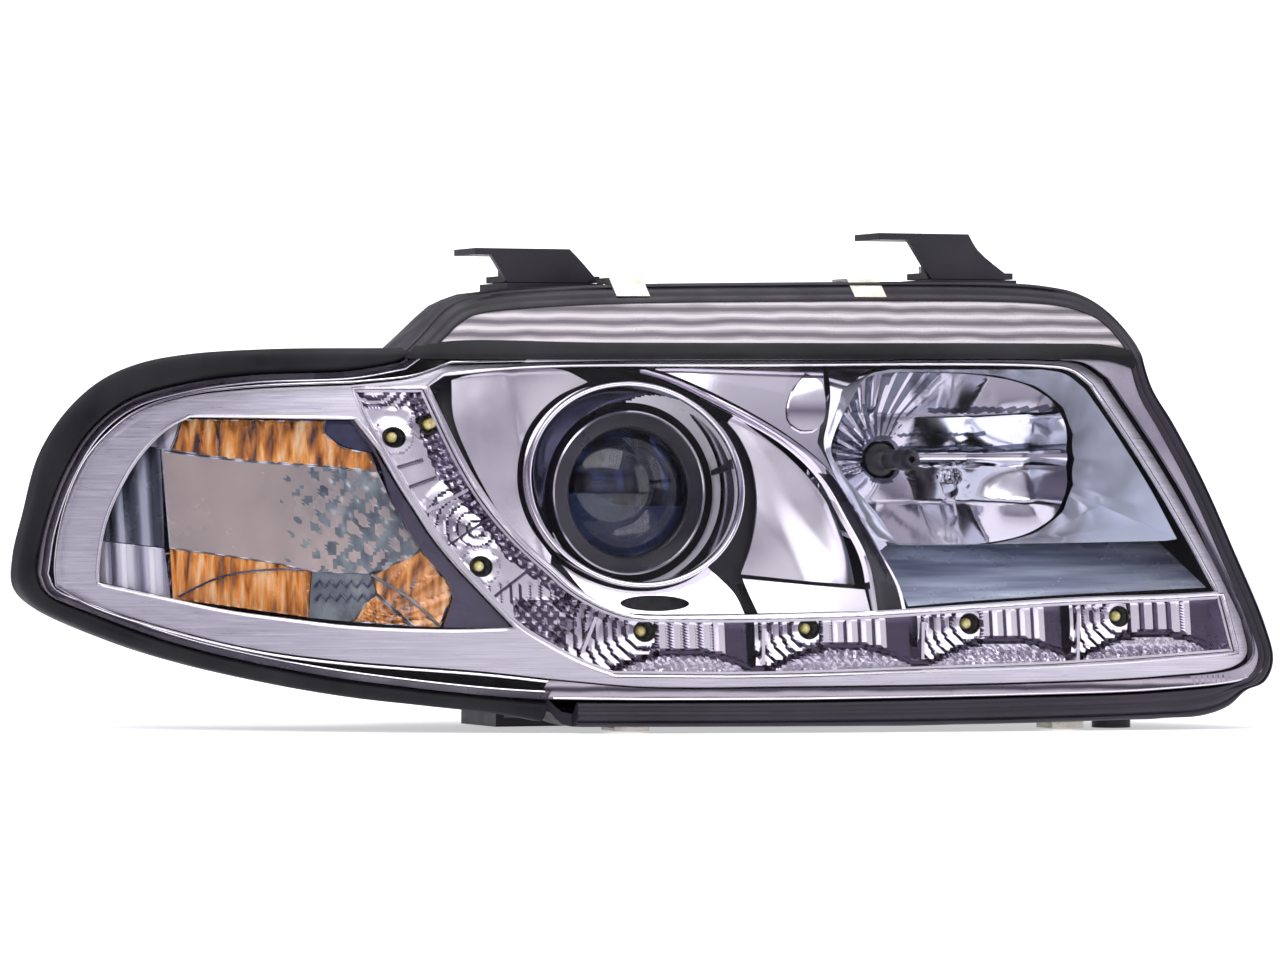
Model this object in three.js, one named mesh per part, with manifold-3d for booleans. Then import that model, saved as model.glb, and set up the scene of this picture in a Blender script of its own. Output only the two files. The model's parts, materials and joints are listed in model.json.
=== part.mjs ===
// Car headlight assembly: projector low beam, reflector high beam, LED strip and corner turn signal
// behind one wrap-around clear lens. Millimetres. +X inboard, +Y into the car, +Z up; light leaves along -Y.
// The layout is worked out from a front datum and shifted at the end so that the origin is the bottom centre.
import * as THREE from 'three';
import { mergeVertices } from 'three/addons/utils/BufferGeometryUtils.js';
import Module from 'manifold-3d';

const wasm = await Module();
wasm.setup();

// ---------------------------------------------------------------- driving dimensions
const LENS_RIGHT = 267.5; // where the sweep of the lens starts, at the inboard end
const LENS_WIDTH = 535;
const SWEEP = { slope: 60, curve: 50, wrap: 115 }; // how far the face falls back over its width
const RAKE = 0.2; // the face leans back this much per millimetre of height
const FACE_FOOT = 17; // height where the lean starts
const CROWN = { mid: 95, half: 80, depth: 5 }; // vertical bulge of the face
const HOOD_LINE = 172; // height where the face bends back under the bonnet
const SKIRT_SLOPE = 0.9;
const LENS_WALL = 2.8;
const LENS_EDGE = 14; // depth of the lens's side wall
const HOUSING_WALL = 2.5;
const RIM_FRONT = 7; // the housing's rim starts this far behind the face
const GAP = 0.4; // clearance between touching pieces

const PROJECTOR = { x: -8, z: 108.5 };
const HIGH_BEAM = { x: 128, z: 124, centreX: 131, centreZ: 125.5, halfWidth: 62.5, halfHeight: 40.5 };
const PIVOT = { x: 66, y: 152, z: 160 }; // fixed ball of the aiming frame
const LEVEL_Z = 52; // height of the levelling rod
const SIDE_X = 180; // place of the sideways adjuster
const TURN = { x: -160, z: 95 };
const ORIGIN = { x: 3.5, y: 131.8, z: 0 }; // middle of the finished box, taken off every piece

// ---------------------------------------------------------------- the lens surface
function sweep(x) {
  const t = (LENS_RIGHT - x) / LENS_WIDTH;
  return SWEEP.slope * t + SWEEP.curve * t * t + SWEEP.wrap * t ** 4;
}

// Depth of the clear lens's outer face at a place seen from the front.
function face(x, z) {
  const inFace = Math.min(z, HOOD_LINE);
  const crown = CROWN.depth * ((inFace - CROWN.mid) / CROWN.half) ** 2;
  const skirt = SKIRT_SLOPE * Math.max(0, z - HOOD_LINE);
  return sweep(x) + RAKE * (z - FACE_FOOT) + crown + skirt;
}

// Depth of the housing's rear wall along its width.
const BACK_KNOTS = [
  [-275, 262],
  [-230, 254],
  [-160, 216],
  [-110, 208],
  [60, 205],
  [120, 190],
  [180, 172],
  [230, 140],
  [290, 60],
];
function back(x) {
  const i = BACK_KNOTS.findIndex(([knot]) => knot >= x);
  const [x0, y0] = BACK_KNOTS[Math.max(i - 1, 0)];
  const [x1, y1] = BACK_KNOTS[Math.max(i, 1)];
  return THREE.MathUtils.mapLinear(x, x0, x1, y0, y1);
}

// ---------------------------------------------------------------- solids and booleans
function solidOf(geometry) {
  const bare = geometry.index ? geometry.toNonIndexed() : geometry.clone();
  bare.deleteAttribute('normal');
  bare.deleteAttribute('uv');
  const merged = mergeVertices(bare, 1e-4);
  const triVerts = new Uint32Array(merged.index.array);
  const build = () =>
    new wasm.Manifold(new wasm.Mesh({ numProp: 3, vertProperties: merged.attributes.position.array, triVerts }));
  const solid = build();
  if (solid.volume() >= 0) return solid;
  for (let i = 0; i < triVerts.length; i += 3) {
    [triVerts[i + 1], triVerts[i + 2]] = [triVerts[i + 2], triVerts[i + 1]];
  }
  return build();
}

function geometryOf(solid) {
  const { vertProperties, triVerts, numProp } = solid.getMesh();
  const count = vertProperties.length / numProp;
  const positions = new Float32Array(count * 3);
  for (let i = 0; i < count; i++) {
    positions.set(vertProperties.subarray(i * numProp, i * numProp + 3), i * 3);
  }
  const geometry = new THREE.BufferGeometry();
  geometry.setAttribute('position', new THREE.BufferAttribute(positions, 3));
  geometry.setIndex(new THREE.BufferAttribute(new Uint32Array(triVerts), 1));
  geometry.computeVertexNormals();
  return geometry;
}

const join = (...solids) => solids.reduce((sum, next) => sum.add(next));
const cut = (solid, ...tools) => tools.reduce((rest, tool) => rest.subtract(tool), solid);

function box(x0, x1, y0, y1, z0, z1) {
  const geometry = new THREE.BoxGeometry(x1 - x0, y1 - y0, z1 - z0);
  geometry.translate((x0 + x1) / 2, (y0 + y1) / 2, (z0 + z1) / 2);
  return solidOf(geometry);
}

// A turned piece on an axis along Y: the profile is a closed list of [radius, depth].
function turned(profile, x, z, sides = 32) {
  const points = [...profile, profile[0]].map(([r, y]) => new THREE.Vector2(r, y));
  const geometry = new THREE.LatheGeometry(points, sides);
  geometry.translate(x, 0, z);
  return solidOf(geometry);
}

const rod = (x, z, r, y0, y1, sides = 24) =>
  turned([[0, y0], [r, y0], [r, y1], [0, y1]], x, z, sides);

const tube = (x, z, rIn, rOut, y0, y1, sides = 32) =>
  turned([[rIn, y0], [rOut, y0], [rOut, y1], [rIn, y1]], x, z, sides);

// A round pin or hole along Z.
function upright(x, y, r, z0, z1, sides = 16) {
  const geometry = new THREE.CylinderGeometry(r, r, z1 - z0, sides);
  geometry.rotateX(Math.PI / 2);
  geometry.translate(x, y, (z0 + z1) / 2);
  return solidOf(geometry);
}

// A closed outline in the front view. Each run of points is a smooth curve, and runs meet at corners.
function outline(runs, steps = 1) {
  const points = [];
  for (const run of runs) {
    const places = run.map(([x, z]) => new THREE.Vector3(x, z, 0));
    const curve = new THREE.CatmullRomCurve3(places, false, 'centripetal');
    const count = run.length > 2 ? (run.length - 1) * steps : 1;
    for (let i = 0; i < count; i++) {
      const p = curve.getPoint(i / count);
      points.push(new THREE.Vector2(p.x, p.y));
    }
  }
  const last = runs.at(-1).at(-1);
  if (Math.hypot(points[0].x - last[0], points[0].y - last[1]) > 0.01) {
    points.push(new THREE.Vector2(...last));
  }
  return THREE.ShapeUtils.isClockWise(points) ? points.reverse() : points;
}

// The outline moved outwards by a distance, or inwards if it is negative.
function offset(points, distance) {
  return points.map((p, i) => {
    const before = points.at(i - 1);
    const after = points[(i + 1) % points.length];
    const a = p.clone().sub(before).normalize();
    const b = after.clone().sub(p).normalize();
    const normal = new THREE.Vector2(a.y + b.y, -a.x - b.x).normalize();
    const sharpness = Math.max(0.5, Math.sqrt((1 + a.dot(b)) / 2));
    return p.clone().addScaledVector(normal, distance / sharpness);
  });
}

function prism(points, y0 = -60, y1 = 420) {
  const geometry = new THREE.ExtrudeGeometry(new THREE.Shape(points), { depth: y1 - y0, bevelEnabled: false });
  geometry.rotateX(Math.PI / 2);
  geometry.translate(0, y1, 0);
  return solidOf(geometry);
}

// Joins loops of equal length into one closed surface. Open ends are capped; a ring closes on itself.
function skin(loops, isRing = false, flatSecond = 'z') {
  const n = loops[0].length;
  const positions = loops.flat().flatMap((p) => [p.x, p.y, p.z]);
  const index = [];
  const spans = isRing ? loops.length : loops.length - 1;
  for (let k = 0; k < spans; k++) {
    const next = (k + 1) % loops.length;
    for (let i = 0; i < n; i++) {
      const j = (i + 1) % n;
      index.push(k * n + i, k * n + j, next * n + j, k * n + i, next * n + j, next * n + i);
    }
  }
  if (!isRing) {
    const flat = (loop) => loop.map((p) => new THREE.Vector2(p.x, p[flatSecond]));
    const end = (loops.length - 1) * n;
    const turn = THREE.ShapeUtils.isClockWise(flat(loops[0])) ? 1 : -1;
    const cap = (loop, start, way) => {
      for (const [a, b, c] of THREE.ShapeUtils.triangulateShape(flat(loop), [])) {
        index.push(start + (way > 0 ? a : c), start + b, start + (way > 0 ? c : a));
      }
    };
    cap(loops[0], 0, turn);
    cap(loops.at(-1), end, -turn);
  }
  const geometry = new THREE.BufferGeometry();
  geometry.setAttribute('position', new THREE.Float32BufferAttribute(positions, 3));
  geometry.setIndex(index);
  return solidOf(geometry);
}

// A plate that follows the lens surface, between two depths behind it, over the whole front.
const SHEET_COLUMNS = 17;
const SHEET_ROWS = [-6, 50, 115, HOOD_LINE, 214];
function sheet(front, rear) {
  const xs = Array.from({ length: SHEET_COLUMNS + 1 }, (_, i) => -280 + (570 * i) / SHEET_COLUMNS);
  const edge = (z, depth) => xs.map((x) => new THREE.Vector3(x, face(x, z) + depth, z));
  const loops = SHEET_ROWS.map((z) => [...edge(z, front), ...edge(z, rear).reverse()]);
  return skin(loops, false, 'y');
}

const drape = (points, front, rear) => sheet(front, rear).intersect(prism(points));
const rectangle = (x0, x1, z0, z1) => outline([[[x0, z0], [x1, z0]], [[x1, z0], [x1, z1]], [[x1, z1], [x0, z1]], [[x0, z1], [x0, z0]]]);

// A wire of round section along a list of places.
function wire(places, radius, sides = 3, steps = 16) {
  const section = new THREE.Shape();
  section.absarc(0, 0, radius, 0, Math.PI * 2);
  const path = new THREE.CatmullRomCurve3(places.map((p) => new THREE.Vector3(...p)), false, 'centripetal');
  return solidOf(new THREE.ExtrudeGeometry(section, { steps, extrudePath: path, curveSegments: sides, bevelEnabled: false }));
}

// ---------------------------------------------------------------- outlines in the front view
const LENS = outline([
  [[-257, 71], [-254, 62], [-239, 53.5], [-207, 39.5], [-162, 27.5], [-115, 20], [-70, 15.5], [-22, 14.5]],
  [[-22, 14.5], [50, 14.5]],
  [[50, 14.5], [143, 16], [214, 18], [254, 22], [264, 26], [266.5, 33], [264, 45], [252, 77.5], [240, 110], [228, 138]],
  [[228, 138], [220, 154], [217.5, 168], [217, 178], [211, 191], [203, 198], [190, 201.5], [168, 203]],
  [[168, 203], [60, 202.5], [-30, 200.5], [-72, 197], [-84, 192]],
  [[-84, 192], [-100, 178], [-112, 168.5]],
  [[-112, 168.5], [-132, 164.5], [-173, 162.5], [-200, 158], [-219, 151], [-233.5, 138], [-245, 117.5], [-253.5, 92], [-257, 71]],
]);

const RIM = outline([
  [[-261.5, 70.5], [-258.5, 60], [-241, 49.5], [-208.5, 35.5], [-163, 23.5], [-116, 16], [-72, 11.5], [-59, 9]],
  [[-59, 9], [-54, 3.5], [-46, 2.3]],
  [[-46, 2.3], [100, 2.3]],
  [[100, 2.3], [185, 4], [233, 5.5], [248, 9.5], [256, 17]],
  [[256, 17], [267, 21], [271, 31], [268, 47], [256, 80], [244, 113], [232, 141]],
  [[232, 141], [224, 157], [221.5, 170], [221, 180], [215, 194], [206, 202], [191, 205.5], [168, 207]],
  [[168, 207], [60, 206.5], [-30, 204.5], [-73, 201], [-87, 195.5]],
  [[-87, 195.5], [-103, 181.5], [-114, 172.5]],
  [[-114, 172.5], [-133, 168.5], [-174, 166.5], [-202, 162], [-222, 154.5], [-237, 141], [-249, 119.5], [-257.5, 93.5], [-261.5, 70.5]],
], 2);

const SEAL = outline([
  [[-98, 176], [-113, 175], [-161, 175], [-192, 173], [-211, 169], [-226, 161.5], [-240, 147.5], [-252, 126.5], [-259.5, 98.5], [-264, 78]],
  [[-264, 78], [-264, 64], [-257, 55], [-230, 40], [-205, 30.5], [-171, 21.5], [-140, 15.5], [-108, 11.5], [-79, 8], [-62, 4]],
  [[-62, 4], [-62, 60]],
  [[-62, 60], [-98, 176]],
]);

const BEZEL = outline([
  [[-250, 66], [-250, 76], [-246, 99], [-238, 121], [-228.5, 134.5], [-216, 145.5], [-198, 152.5], [-174, 156], [-132, 158]],
  [[-132, 158], [-108, 161], [-92, 167]],
  [[-92, 167], [-26, 168.5], [64, 169], [176, 169.5], [192, 168], [202, 161]],
  [[202, 161], [226, 118.5], [246, 77.5], [258, 50]],
  [[258, 50], [260, 34], [254, 28.5], [217, 24], [145, 21.5], [52, 20.5], [-19, 20.5], [-54, 23.5]],
  [[-54, 23.5], [-87.5, 27.5], [-141, 32], [-175.5, 37], [-205, 45], [-236.5, 57], [-250, 66]],
]);

// The LED strip drops along a curve and then runs along the foot of the lamp.
const STRIP_OUTER = [[-131, 156], [-127, 143], [-121, 129], [-114.5, 114], [-108.5, 102], [-102, 89.5], [-94, 77.5], [-84.5, 65.5], [-70.5, 48.5], [-58, 39.5], [-45, 32], [-31, 26.2]];
const STRIP_INNER = [[-18, 51.2], [-25, 52.2], [-36.5, 56.8], [-48.5, 64.8], [-56.5, 73], [-65, 81.5], [-74.5, 93], [-83.5, 107], [-91, 123], [-97, 139.5], [-102.5, 156]];
const STRIP = outline([
  STRIP_OUTER,
  [[-31, 26.2], [32, 25.8], [106.5, 27.8], [179.5, 30.2], [255, 35]],
  [[255, 35], [249.5, 60.8]],
  [[249.5, 60.8], [222.5, 59.5], [181.5, 58.4], [133.5, 55.6], [83.5, 52.4], [27, 50.9], [-18, 51.2]],
  STRIP_INNER,
  [[-102.5, 156], [-131, 156]],
]);

const TURN_WINDOW = outline([
  [[-234, 67], [-233.5, 76], [-230, 95], [-223, 112.5], [-214.5, 127], [-204, 138.5], [-196, 143.3]],
  [[-196, 143.3], [-129.5, 142]],
  STRIP_OUTER.slice(2, 9).map(([x, z]) => [x - 2.2, z - 1.2]),
  [[-72.7, 47.3], [-100.5, 46.5], [-138, 48], [-162, 51], [-187, 55], [-207, 60], [-234, 67]],
]);

const MAIN_WINDOW = outline([
  STRIP_INNER.map(([x, z]) => [x + 2, z + 1.4]),
  [[-100.5, 157.4], [-94, 162]],
  [[-94, 162], [-60, 165.5], [40, 166.5], [176, 166.5], [188, 164.5], [196, 158]],
  [[196, 158], [222, 112], [243, 70], [246.5, 62.8]],
  [[246.5, 62.8], [222.5, 61.7], [181.5, 60.6], [133.5, 57.8], [83.5, 54.6], [27, 53.1], [-16, 52.6]],
]);

// The arc that parts the projector's side from the high beam's side.
const ARC = [[-22, 165.8], [2.5, 159.5], [20, 152], [37, 140.5], [50, 129], [62.5, 114], [71, 101], [80.5, 80], [86.5, 64], [88.5, 54.9]];
const ARC_WIDTH = 6;
const ARC_BEYOND = ARC.map(([x, z]) => [x + ARC_WIDTH * 0.8, z + ARC_WIDTH * 0.45]);

// ---------------------------------------------------------------- materials
const paint = (color, roughness, metalness, extra = {}) =>
  new THREE.MeshStandardMaterial({ color, roughness, metalness, ...extra });
const clear = { transparent: true, opacity: 0.25 };
const BLACK_PLASTIC = paint(0x17171a, 0.55, 0);
const BLACK_RUBBER = paint(0x121614, 0.8, 0);
const DARK_TRIM = paint(0x2c2a3c, 0.4, 0.1);
const CHROME = paint(0xd8d6de, 0.08, 1);
const SATIN_SILVER = paint(0xb4b1bb, 0.35, 0.9);
const SPRING_STEEL = paint(0xb9b8ae, 0.3, 1);
const SCREW_STEEL = paint(0x9a9aa0, 0.35, 1);
const CLEAR_LENS = paint(0xf2f2f8, 0.02, 0, clear);
const BULB_GLASS = paint(0xf4f6ff, 0.02, 0, clear);
const PROJECTOR_GLASS = paint(0x8f98c8, 0.02, 0, { transparent: true, opacity: 0.6 });
const AMBER = paint(0xd9731a, 0.15, 0, { transparent: true, opacity: 0.85 });
const BOARD_GREEN = paint(0x1d3a2a, 0.6, 0);
const LED_YELLOW = paint(0xc9bf52, 0.2, 0);
const GREY_NYLON = paint(0x8d8f92, 0.6, 0);

const headlight = new THREE.Group();
function place(name, solid, material) {
  const mesh = new THREE.Mesh(geometryOf(solid), material);
  mesh.name = name;
  headlight.add(mesh);
}

// ---------------------------------------------------------------- housing
// Pulls an outline towards the lamp's long middle line, so that it can narrow without folding over.
const SPINE = { left: -205, right: 195, height: 100, rise: 0.03 };
function narrowed(points, share) {
  return points.map((p) => {
    const x = THREE.MathUtils.clamp(p.x, SPINE.left, SPINE.right);
    const middle = new THREE.Vector2(x, SPINE.height + SPINE.rise * x);
    return p.clone().lerp(middle, share);
  });
}

// Everything in front of a surface that lies a set distance in front of the rear wall.
function frontOfBack(inset) {
  const edge = BACK_KNOTS.map(([x, y]) => new THREE.Vector2(x, y - inset));
  const points = [...edge, new THREE.Vector2(290, -200), new THREE.Vector2(-275, -200)];
  const geometry = new THREE.ExtrudeGeometry(new THREE.Shape(points), { depth: 400, bevelEnabled: false });
  geometry.translate(0, 0, -100);
  return solidOf(geometry);
}

// The housing's dish as nested loops: [share narrowed, share of the way from rim to rear wall].
const DISH = [[0, 0], [0.05, 0.45], [0.14, 0.82], [0.24, 1]];
const RIM_DEPTH = 22;
function dish(points, extraNarrowing, front, inset) {
  const loopAt = (share, depthAt) =>
    narrowed(points, share + extraNarrowing).map((p, i) => new THREE.Vector3(p.x, depthAt(points[i], p), p.y));
  const rimDepth = (p) => face(p.x, p.y) + RIM_DEPTH;
  const loops = [
    loopAt(0, () => -90),
    ...DISH.map(([share, way]) => loopAt(share, (rim, p) => THREE.MathUtils.lerp(rimDepth(rim), back(p.x), way))),
    loopAt(DISH.at(-1)[0], () => 320),
  ];
  return skin(loops).intersect(frontOfBack(inset)).intersect(sheet(front, 420));
}

const CAVITY_NARROWING = 0.06;
const housingBlock = (growth) => dish(offset(RIM, growth), 0, RIM_FRONT - growth, -growth);
const lensBlock = (growth) => drape(offset(LENS, growth), -growth, LENS_EDGE + growth);

const LOW_COLLAR = { rIn: 49, rOut: 52, end: 224 };
const HIGH_COLLAR = { rIn: 37.5, rOut: 40, end: 206 };
const TURN_COLLAR = { rIn: 16.6, rOut: 19.5, end: 229 };
const OUTER_PAD = { x0: -56, x1: -8, y0: 146, y1: 182, top: 206 };
const INNER_PAD = { x0: 140, x1: 184, y0: 102, y1: 136, top: 208.5 };
const padScrews = (pad) => [pad.x0 + 9, pad.x1 - 9].map((x) => ({ x, y: pad.y0 + 24 }));
const MOTOR = { x0: 45, x1: 88, z0: 32, z1: 72, y0: 208, y1: 246, neck: 13 };

function housing() {
  const block = housingBlock(0);
  const cavity = dish(RIM, CAVITY_NARROWING, -40, HOUSING_WALL);
  const pocket = drape(offset(LENS, GAP), -40, LENS_EDGE + GAP);
  const collar = ({ x, z }, c, start) => tube(x, z, c.rIn, c.rOut, start, c.end, 44);
  const pad = (p) => box(p.x0, p.x1, p.y0, p.y1, p.top - 22, p.top);
  const neckHole = rod(PIVOT.x, LEVEL_Z, MOTOR.neck + GAP, 150, 260, 24);
  const sideHole = rod(SIDE_X, PIVOT.z, 4.4, 140, 200, 16);
  const pivotHole = rod(PIVOT.x, PIVOT.z, 3.4, 180, 220, 16);
  const pivotBoss = rod(PIVOT.x, PIVOT.z, 8, 192, 206, 16);
  const sideBoss = rod(SIDE_X, PIVOT.z, 9, 162, 176, 16);
  const foot = upright(203, 40, 9, 0, 9, 16);
  const ventHole = rod(-100, 140, 4, 180, 230, 16);
  const leadHole = box(-98, -72, 190, 225, 49, 61);
  const shell = cut(
    join(block, pad(OUTER_PAD), pad(INNER_PAD)),
    cavity,
    rod(PROJECTOR.x, PROJECTOR.z, LOW_COLLAR.rOut - 1, 195, 240, 44),
    rod(HIGH_BEAM.x, HIGH_BEAM.z, HIGH_COLLAR.rOut - 1, 150, 240, 44),
    rod(TURN.x, TURN.z, TURN_COLLAR.rOut - 1, 190, 260, 24),
  );
  const screwHoles = [OUTER_PAD, INNER_PAD].flatMap((p) =>
    padScrews(p).map(({ x, y }) => upright(x, y, 2.3, p.top - 10, p.top + 4)),
  );
  return cut(
    join(
      shell,
      foot,
      pivotBoss,
      sideBoss,
      collar(PROJECTOR, LOW_COLLAR, 200),
      collar(HIGH_BEAM, HIGH_COLLAR, 178),
      collar(TURN, TURN_COLLAR, 206),
    ),
    pocket,
    neckHole,
    sideHole,
    pivotHole,
    ventHole,
    leadHole,
    ...screwHoles,
  );
}

// ---------------------------------------------------------------- lens, seals, clips and brackets
function frontLens() {
  return cut(drape(LENS, 0, LENS_EDGE), drape(offset(LENS, -LENS_WALL), LENS_WALL, 80));
}

function cornerSeal() {
  return cut(drape(SEAL, 0.5, 15), drape(offset(LENS, GAP), -40, 80), housingBlock(GAP));
}

function hoodSeal() {
  const strip = outline([
    [[-110, 170.5], [-98, 169.8], [60, 169.8], [196, 170.5], [212, 166]],
    [[212, 166], [215, 176]],
    [[215, 176], [196, 177.2], [60, 177.5], [-86, 177.5]],
    [[-86, 177.5], [-90, 186], [-99, 178]],
    [[-99, 178], [-110, 170.5]],
  ]);
  return drape(strip, -2.6, -GAP);
}

const CLIP_HALF = 7.4;
function topClip(x) {
  return cut(drape(rectangle(x - CLIP_HALF, x + CLIP_HALF, 199.5, 208.3), -1.6, 16), housingBlock(GAP), lensBlock(GAP));
}
function bottomClip(x) {
  return cut(drape(rectangle(x - CLIP_HALF, x + CLIP_HALF, 0.6, 7), 5.2, 22), housingBlock(GAP));
}

// An upper bracket leans outboard from its pad and ends in a flat bolting tab.
function upperBracket(pad, topLeft, topRight, tabTip, topZ) {
  const foot = pad.top + GAP;
  const arm = outline([
    [[pad.x0 + 1, foot], [pad.x1 - 1, foot]],
    [[pad.x1 - 1, foot], [topRight + 5, (foot + topZ) / 2 + 3], [topRight, topZ]],
    [[topRight, topZ], [topLeft, topZ]],
    [[topLeft, topZ], [pad.x0 + 1, foot]],
  ], 4);
  const y0 = pad.y0 + 2;
  const depth = 28;
  const plate = prism(arm, y0, y0 + 3.5);
  const boltX = (topLeft + topRight) / 2 - 2;
  const webs = [pad.x0 + 2.6, topRight - 2].map((x) => {
    return prism(arm, y0, y0 + depth).intersect(
      box(x - 1.6, x + 1.6, y0, y0 + 12, foot, topZ),
    );
  });
  const base = box(pad.x0 + 1, pad.x1 - 1, y0, y0 + depth, foot, foot + 3);
  const tab = box(tabTip, topRight, y0, y0 + depth, topZ - 3, topZ);
  const boltHole = upright(boltX, y0 + 17, 3.4, topZ - 8, topZ + 2, 20);
  const screwHoles = padScrews(pad).map(({ x, y }) => upright(x, y, 2.6, foot - 1, foot + 12));
  return cut(join(plate, ...webs, base, tab), boltHole, ...screwHoles);
}

function bracketScrew({ x, y }, pad) {
  const seat = pad.top + GAP + 3.3;
  const head = upright(x, y, 4.2, seat, seat + 3, 20);
  const slot = box(x - 5, x + 5, y - 0.6, y + 0.6, seat + 1.6, seat + 4);
  return join(cut(head, slot), upright(x, y, 1.9, pad.top - 8, seat + 0.1, 14));
}

function lowerBracket() {
  const plate = box(-60, 119, 150, 196, 0, 4);
  const ribs = [-60, -17, 27.5, 72, 115].map((x) => box(x, x + 4, 150, 196, 0, 36));
  const holes = [-36, 96].map((x) => upright(x, 173, 3.4, -1, 6, 16));
  const body = cut(join(plate, ...ribs), ...holes);
  const below = dish(offset(RIM, GAP), 0, -40, -GAP);
  return cut(body, below);
}

// ---------------------------------------------------------------- bezels and trim behind the lens
const BEZEL_FRONT = 7;
const BEZEL_THICK = 2.2;
function innerBezel() {
  return cut(
    drape(BEZEL, BEZEL_FRONT, BEZEL_FRONT + BEZEL_THICK),
    prism(TURN_WINDOW),
    prism(STRIP),
    prism(MAIN_WINDOW),
  );
}

// The same outline with its long edges split.
function refined(points, longest) {
  return points.flatMap((p, i) => {
    const next = points[(i + 1) % points.length];
    const count = Math.max(1, Math.ceil(p.distanceTo(next) / longest));
    return Array.from({ length: count }, (_, k) => p.clone().lerp(next, k / count));
  });
}

// A dished surround: from an outline near the lens down to an opening round a centre.
function surround(rim, centre, openingAt, openingDepth, rimDepth, thickness, bow = 0.5) {
  const loopAt = (share, extra) =>
    refined(rim, 16).map((p) => {
      const angle = Math.atan2(p.y - centre.z, p.x - centre.x);
      const hole = openingAt(angle);
      const spot = p.clone().lerp(hole, share);
      const fall = share ** (1 + bow);
      const y = THREE.MathUtils.lerp(face(p.x, p.y) + rimDepth, openingDepth, fall);
      return new THREE.Vector3(spot.x, y + extra, spot.y);
    });
  const shares = [0, 0.35, 0.7, 1];
  const front = shares.map((s) => loopAt(s, 0));
  const rear = [...shares].reverse().map((s) => loopAt(s, thickness));
  return skin([...front, ...rear], true);
}

function ovalAt(x, z, halfWidth, halfHeight) {
  return (angle) => {
    const r = 1 / Math.hypot(Math.cos(angle) / halfWidth, Math.sin(angle) / halfHeight);
    return new THREE.Vector2(x + r * Math.cos(angle), z + r * Math.sin(angle));
  };
}

// A plate whose depth behind the face varies from place to place, over one part of the front.
function relief(x0, x1, z0, z1, depthAt, thickness) {
  const columns = Math.ceil((x1 - x0) / 13);
  const rows = Math.ceil((z1 - z0) / 13);
  const at = (i, z, extra) => {
    const x = THREE.MathUtils.lerp(x0, x1, i / columns);
    return new THREE.Vector3(x, face(x, z) + depthAt(x, z) + extra, z);
  };
  const edge = (z, extra) => Array.from({ length: columns + 1 }, (_, i) => at(i, z, extra));
  const loops = Array.from({ length: rows + 1 }, (_, k) => {
    const z = THREE.MathUtils.lerp(z0, z1, k / rows);
    return [...edge(z, 0), ...edge(z, thickness).reverse()];
  });
  return skin(loops, false, 'y');
}

const PANEL_FRONT = 10.5;
const RING = { x: -14.9, z: 113, r: 49, front: 9.5, mouth: 41.6, rear: 113.6 };
const PANEL_DIP = { depth: 5, reach: 45 }; // the bezel falls back towards the ring
function projectorBezel() {
  const rim = outline([
    STRIP_INNER.map(([x, z]) => [x + 2.6, z + 2]),
    [[-99.9, 158], [-92, 161.5]],
    [[-92, 161.5], [-60, 165], [-24, 165]],
    ARC.slice(1).map(([x, z]) => [x - 1.2, z - 0.6]),
    [[87.3, 54.3], [27, 53.4], [-15.4, 53.2]],
  ]);
  const depthAt = (x, z) => {
    const outside = Math.hypot(x - RING.x, z - RING.z) - RING.r;
    const nearness = THREE.MathUtils.clamp(1 - outside / PANEL_DIP.reach, 0, 1);
    return PANEL_FRONT + PANEL_DIP.depth * nearness ** 1.5;
  };
  return cut(
    relief(-112, 96, 44, 172, depthAt, 1.6).intersect(prism(rim)),
    rod(RING.x, RING.z, RING.r + 0.6, -60, 420, 40),
  );
}

function arcRim() {
  const band = outline([
    ARC,
    [ARC.at(-1), ARC_BEYOND.at(-1)],
    [...ARC_BEYOND].reverse(),
    [ARC_BEYOND[0], ARC[0]],
  ]);
  return drape(band, PANEL_FRONT, PANEL_FRONT + 6).intersect(prism(MAIN_WINDOW));
}

function highBeamSurround() {
  const rim = outline([
    ARC_BEYOND.slice(1, -1).map(([x, z]) => [x + 0.8, z + 0.6]).reverse(),
    [[8.1, 162.8], [14, 165.6]],
    [[14, 165.6], [176, 165.6], [187, 163.6], [195, 157.4]],
    [[195, 157.4], [221, 111.5], [242, 69.5], [245, 63.5]],
    [[245, 63.5], [222.5, 62.4], [181.5, 61.3], [133.5, 58.5], [95.2, 56]],
    [[95.2, 56], [92.1, 67.3]],
  ]);
  const opening = ovalAt(HIGH_BEAM.centreX, HIGH_BEAM.centreZ, HIGH_BEAM.halfWidth - 1.5, HIGH_BEAM.halfHeight - 1.5);
  return surround(rim, { x: HIGH_BEAM.centreX, z: HIGH_BEAM.centreZ }, opening, 66, PANEL_FRONT, 1.6, -0.4);
}

function dividerPanel() {
  const right = STRIP_OUTER.slice(2, 9).map(([x, z]) => [x - 2.8, z - 1.6]);
  const panel = outline([
    [[-136, 141.4], [-130.3, 141.2]],
    [[-130.3, 141.2], ...right],
    [right.at(-1), [-100, 47.2]],
    [[-100, 47.2], [-101, 64], [-113, 86.5], [-122, 108], [-128, 128], [-136, 141.4]],
  ]);
  return drape(panel, PANEL_FRONT, PANEL_FRONT + 1.6);
}

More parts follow.
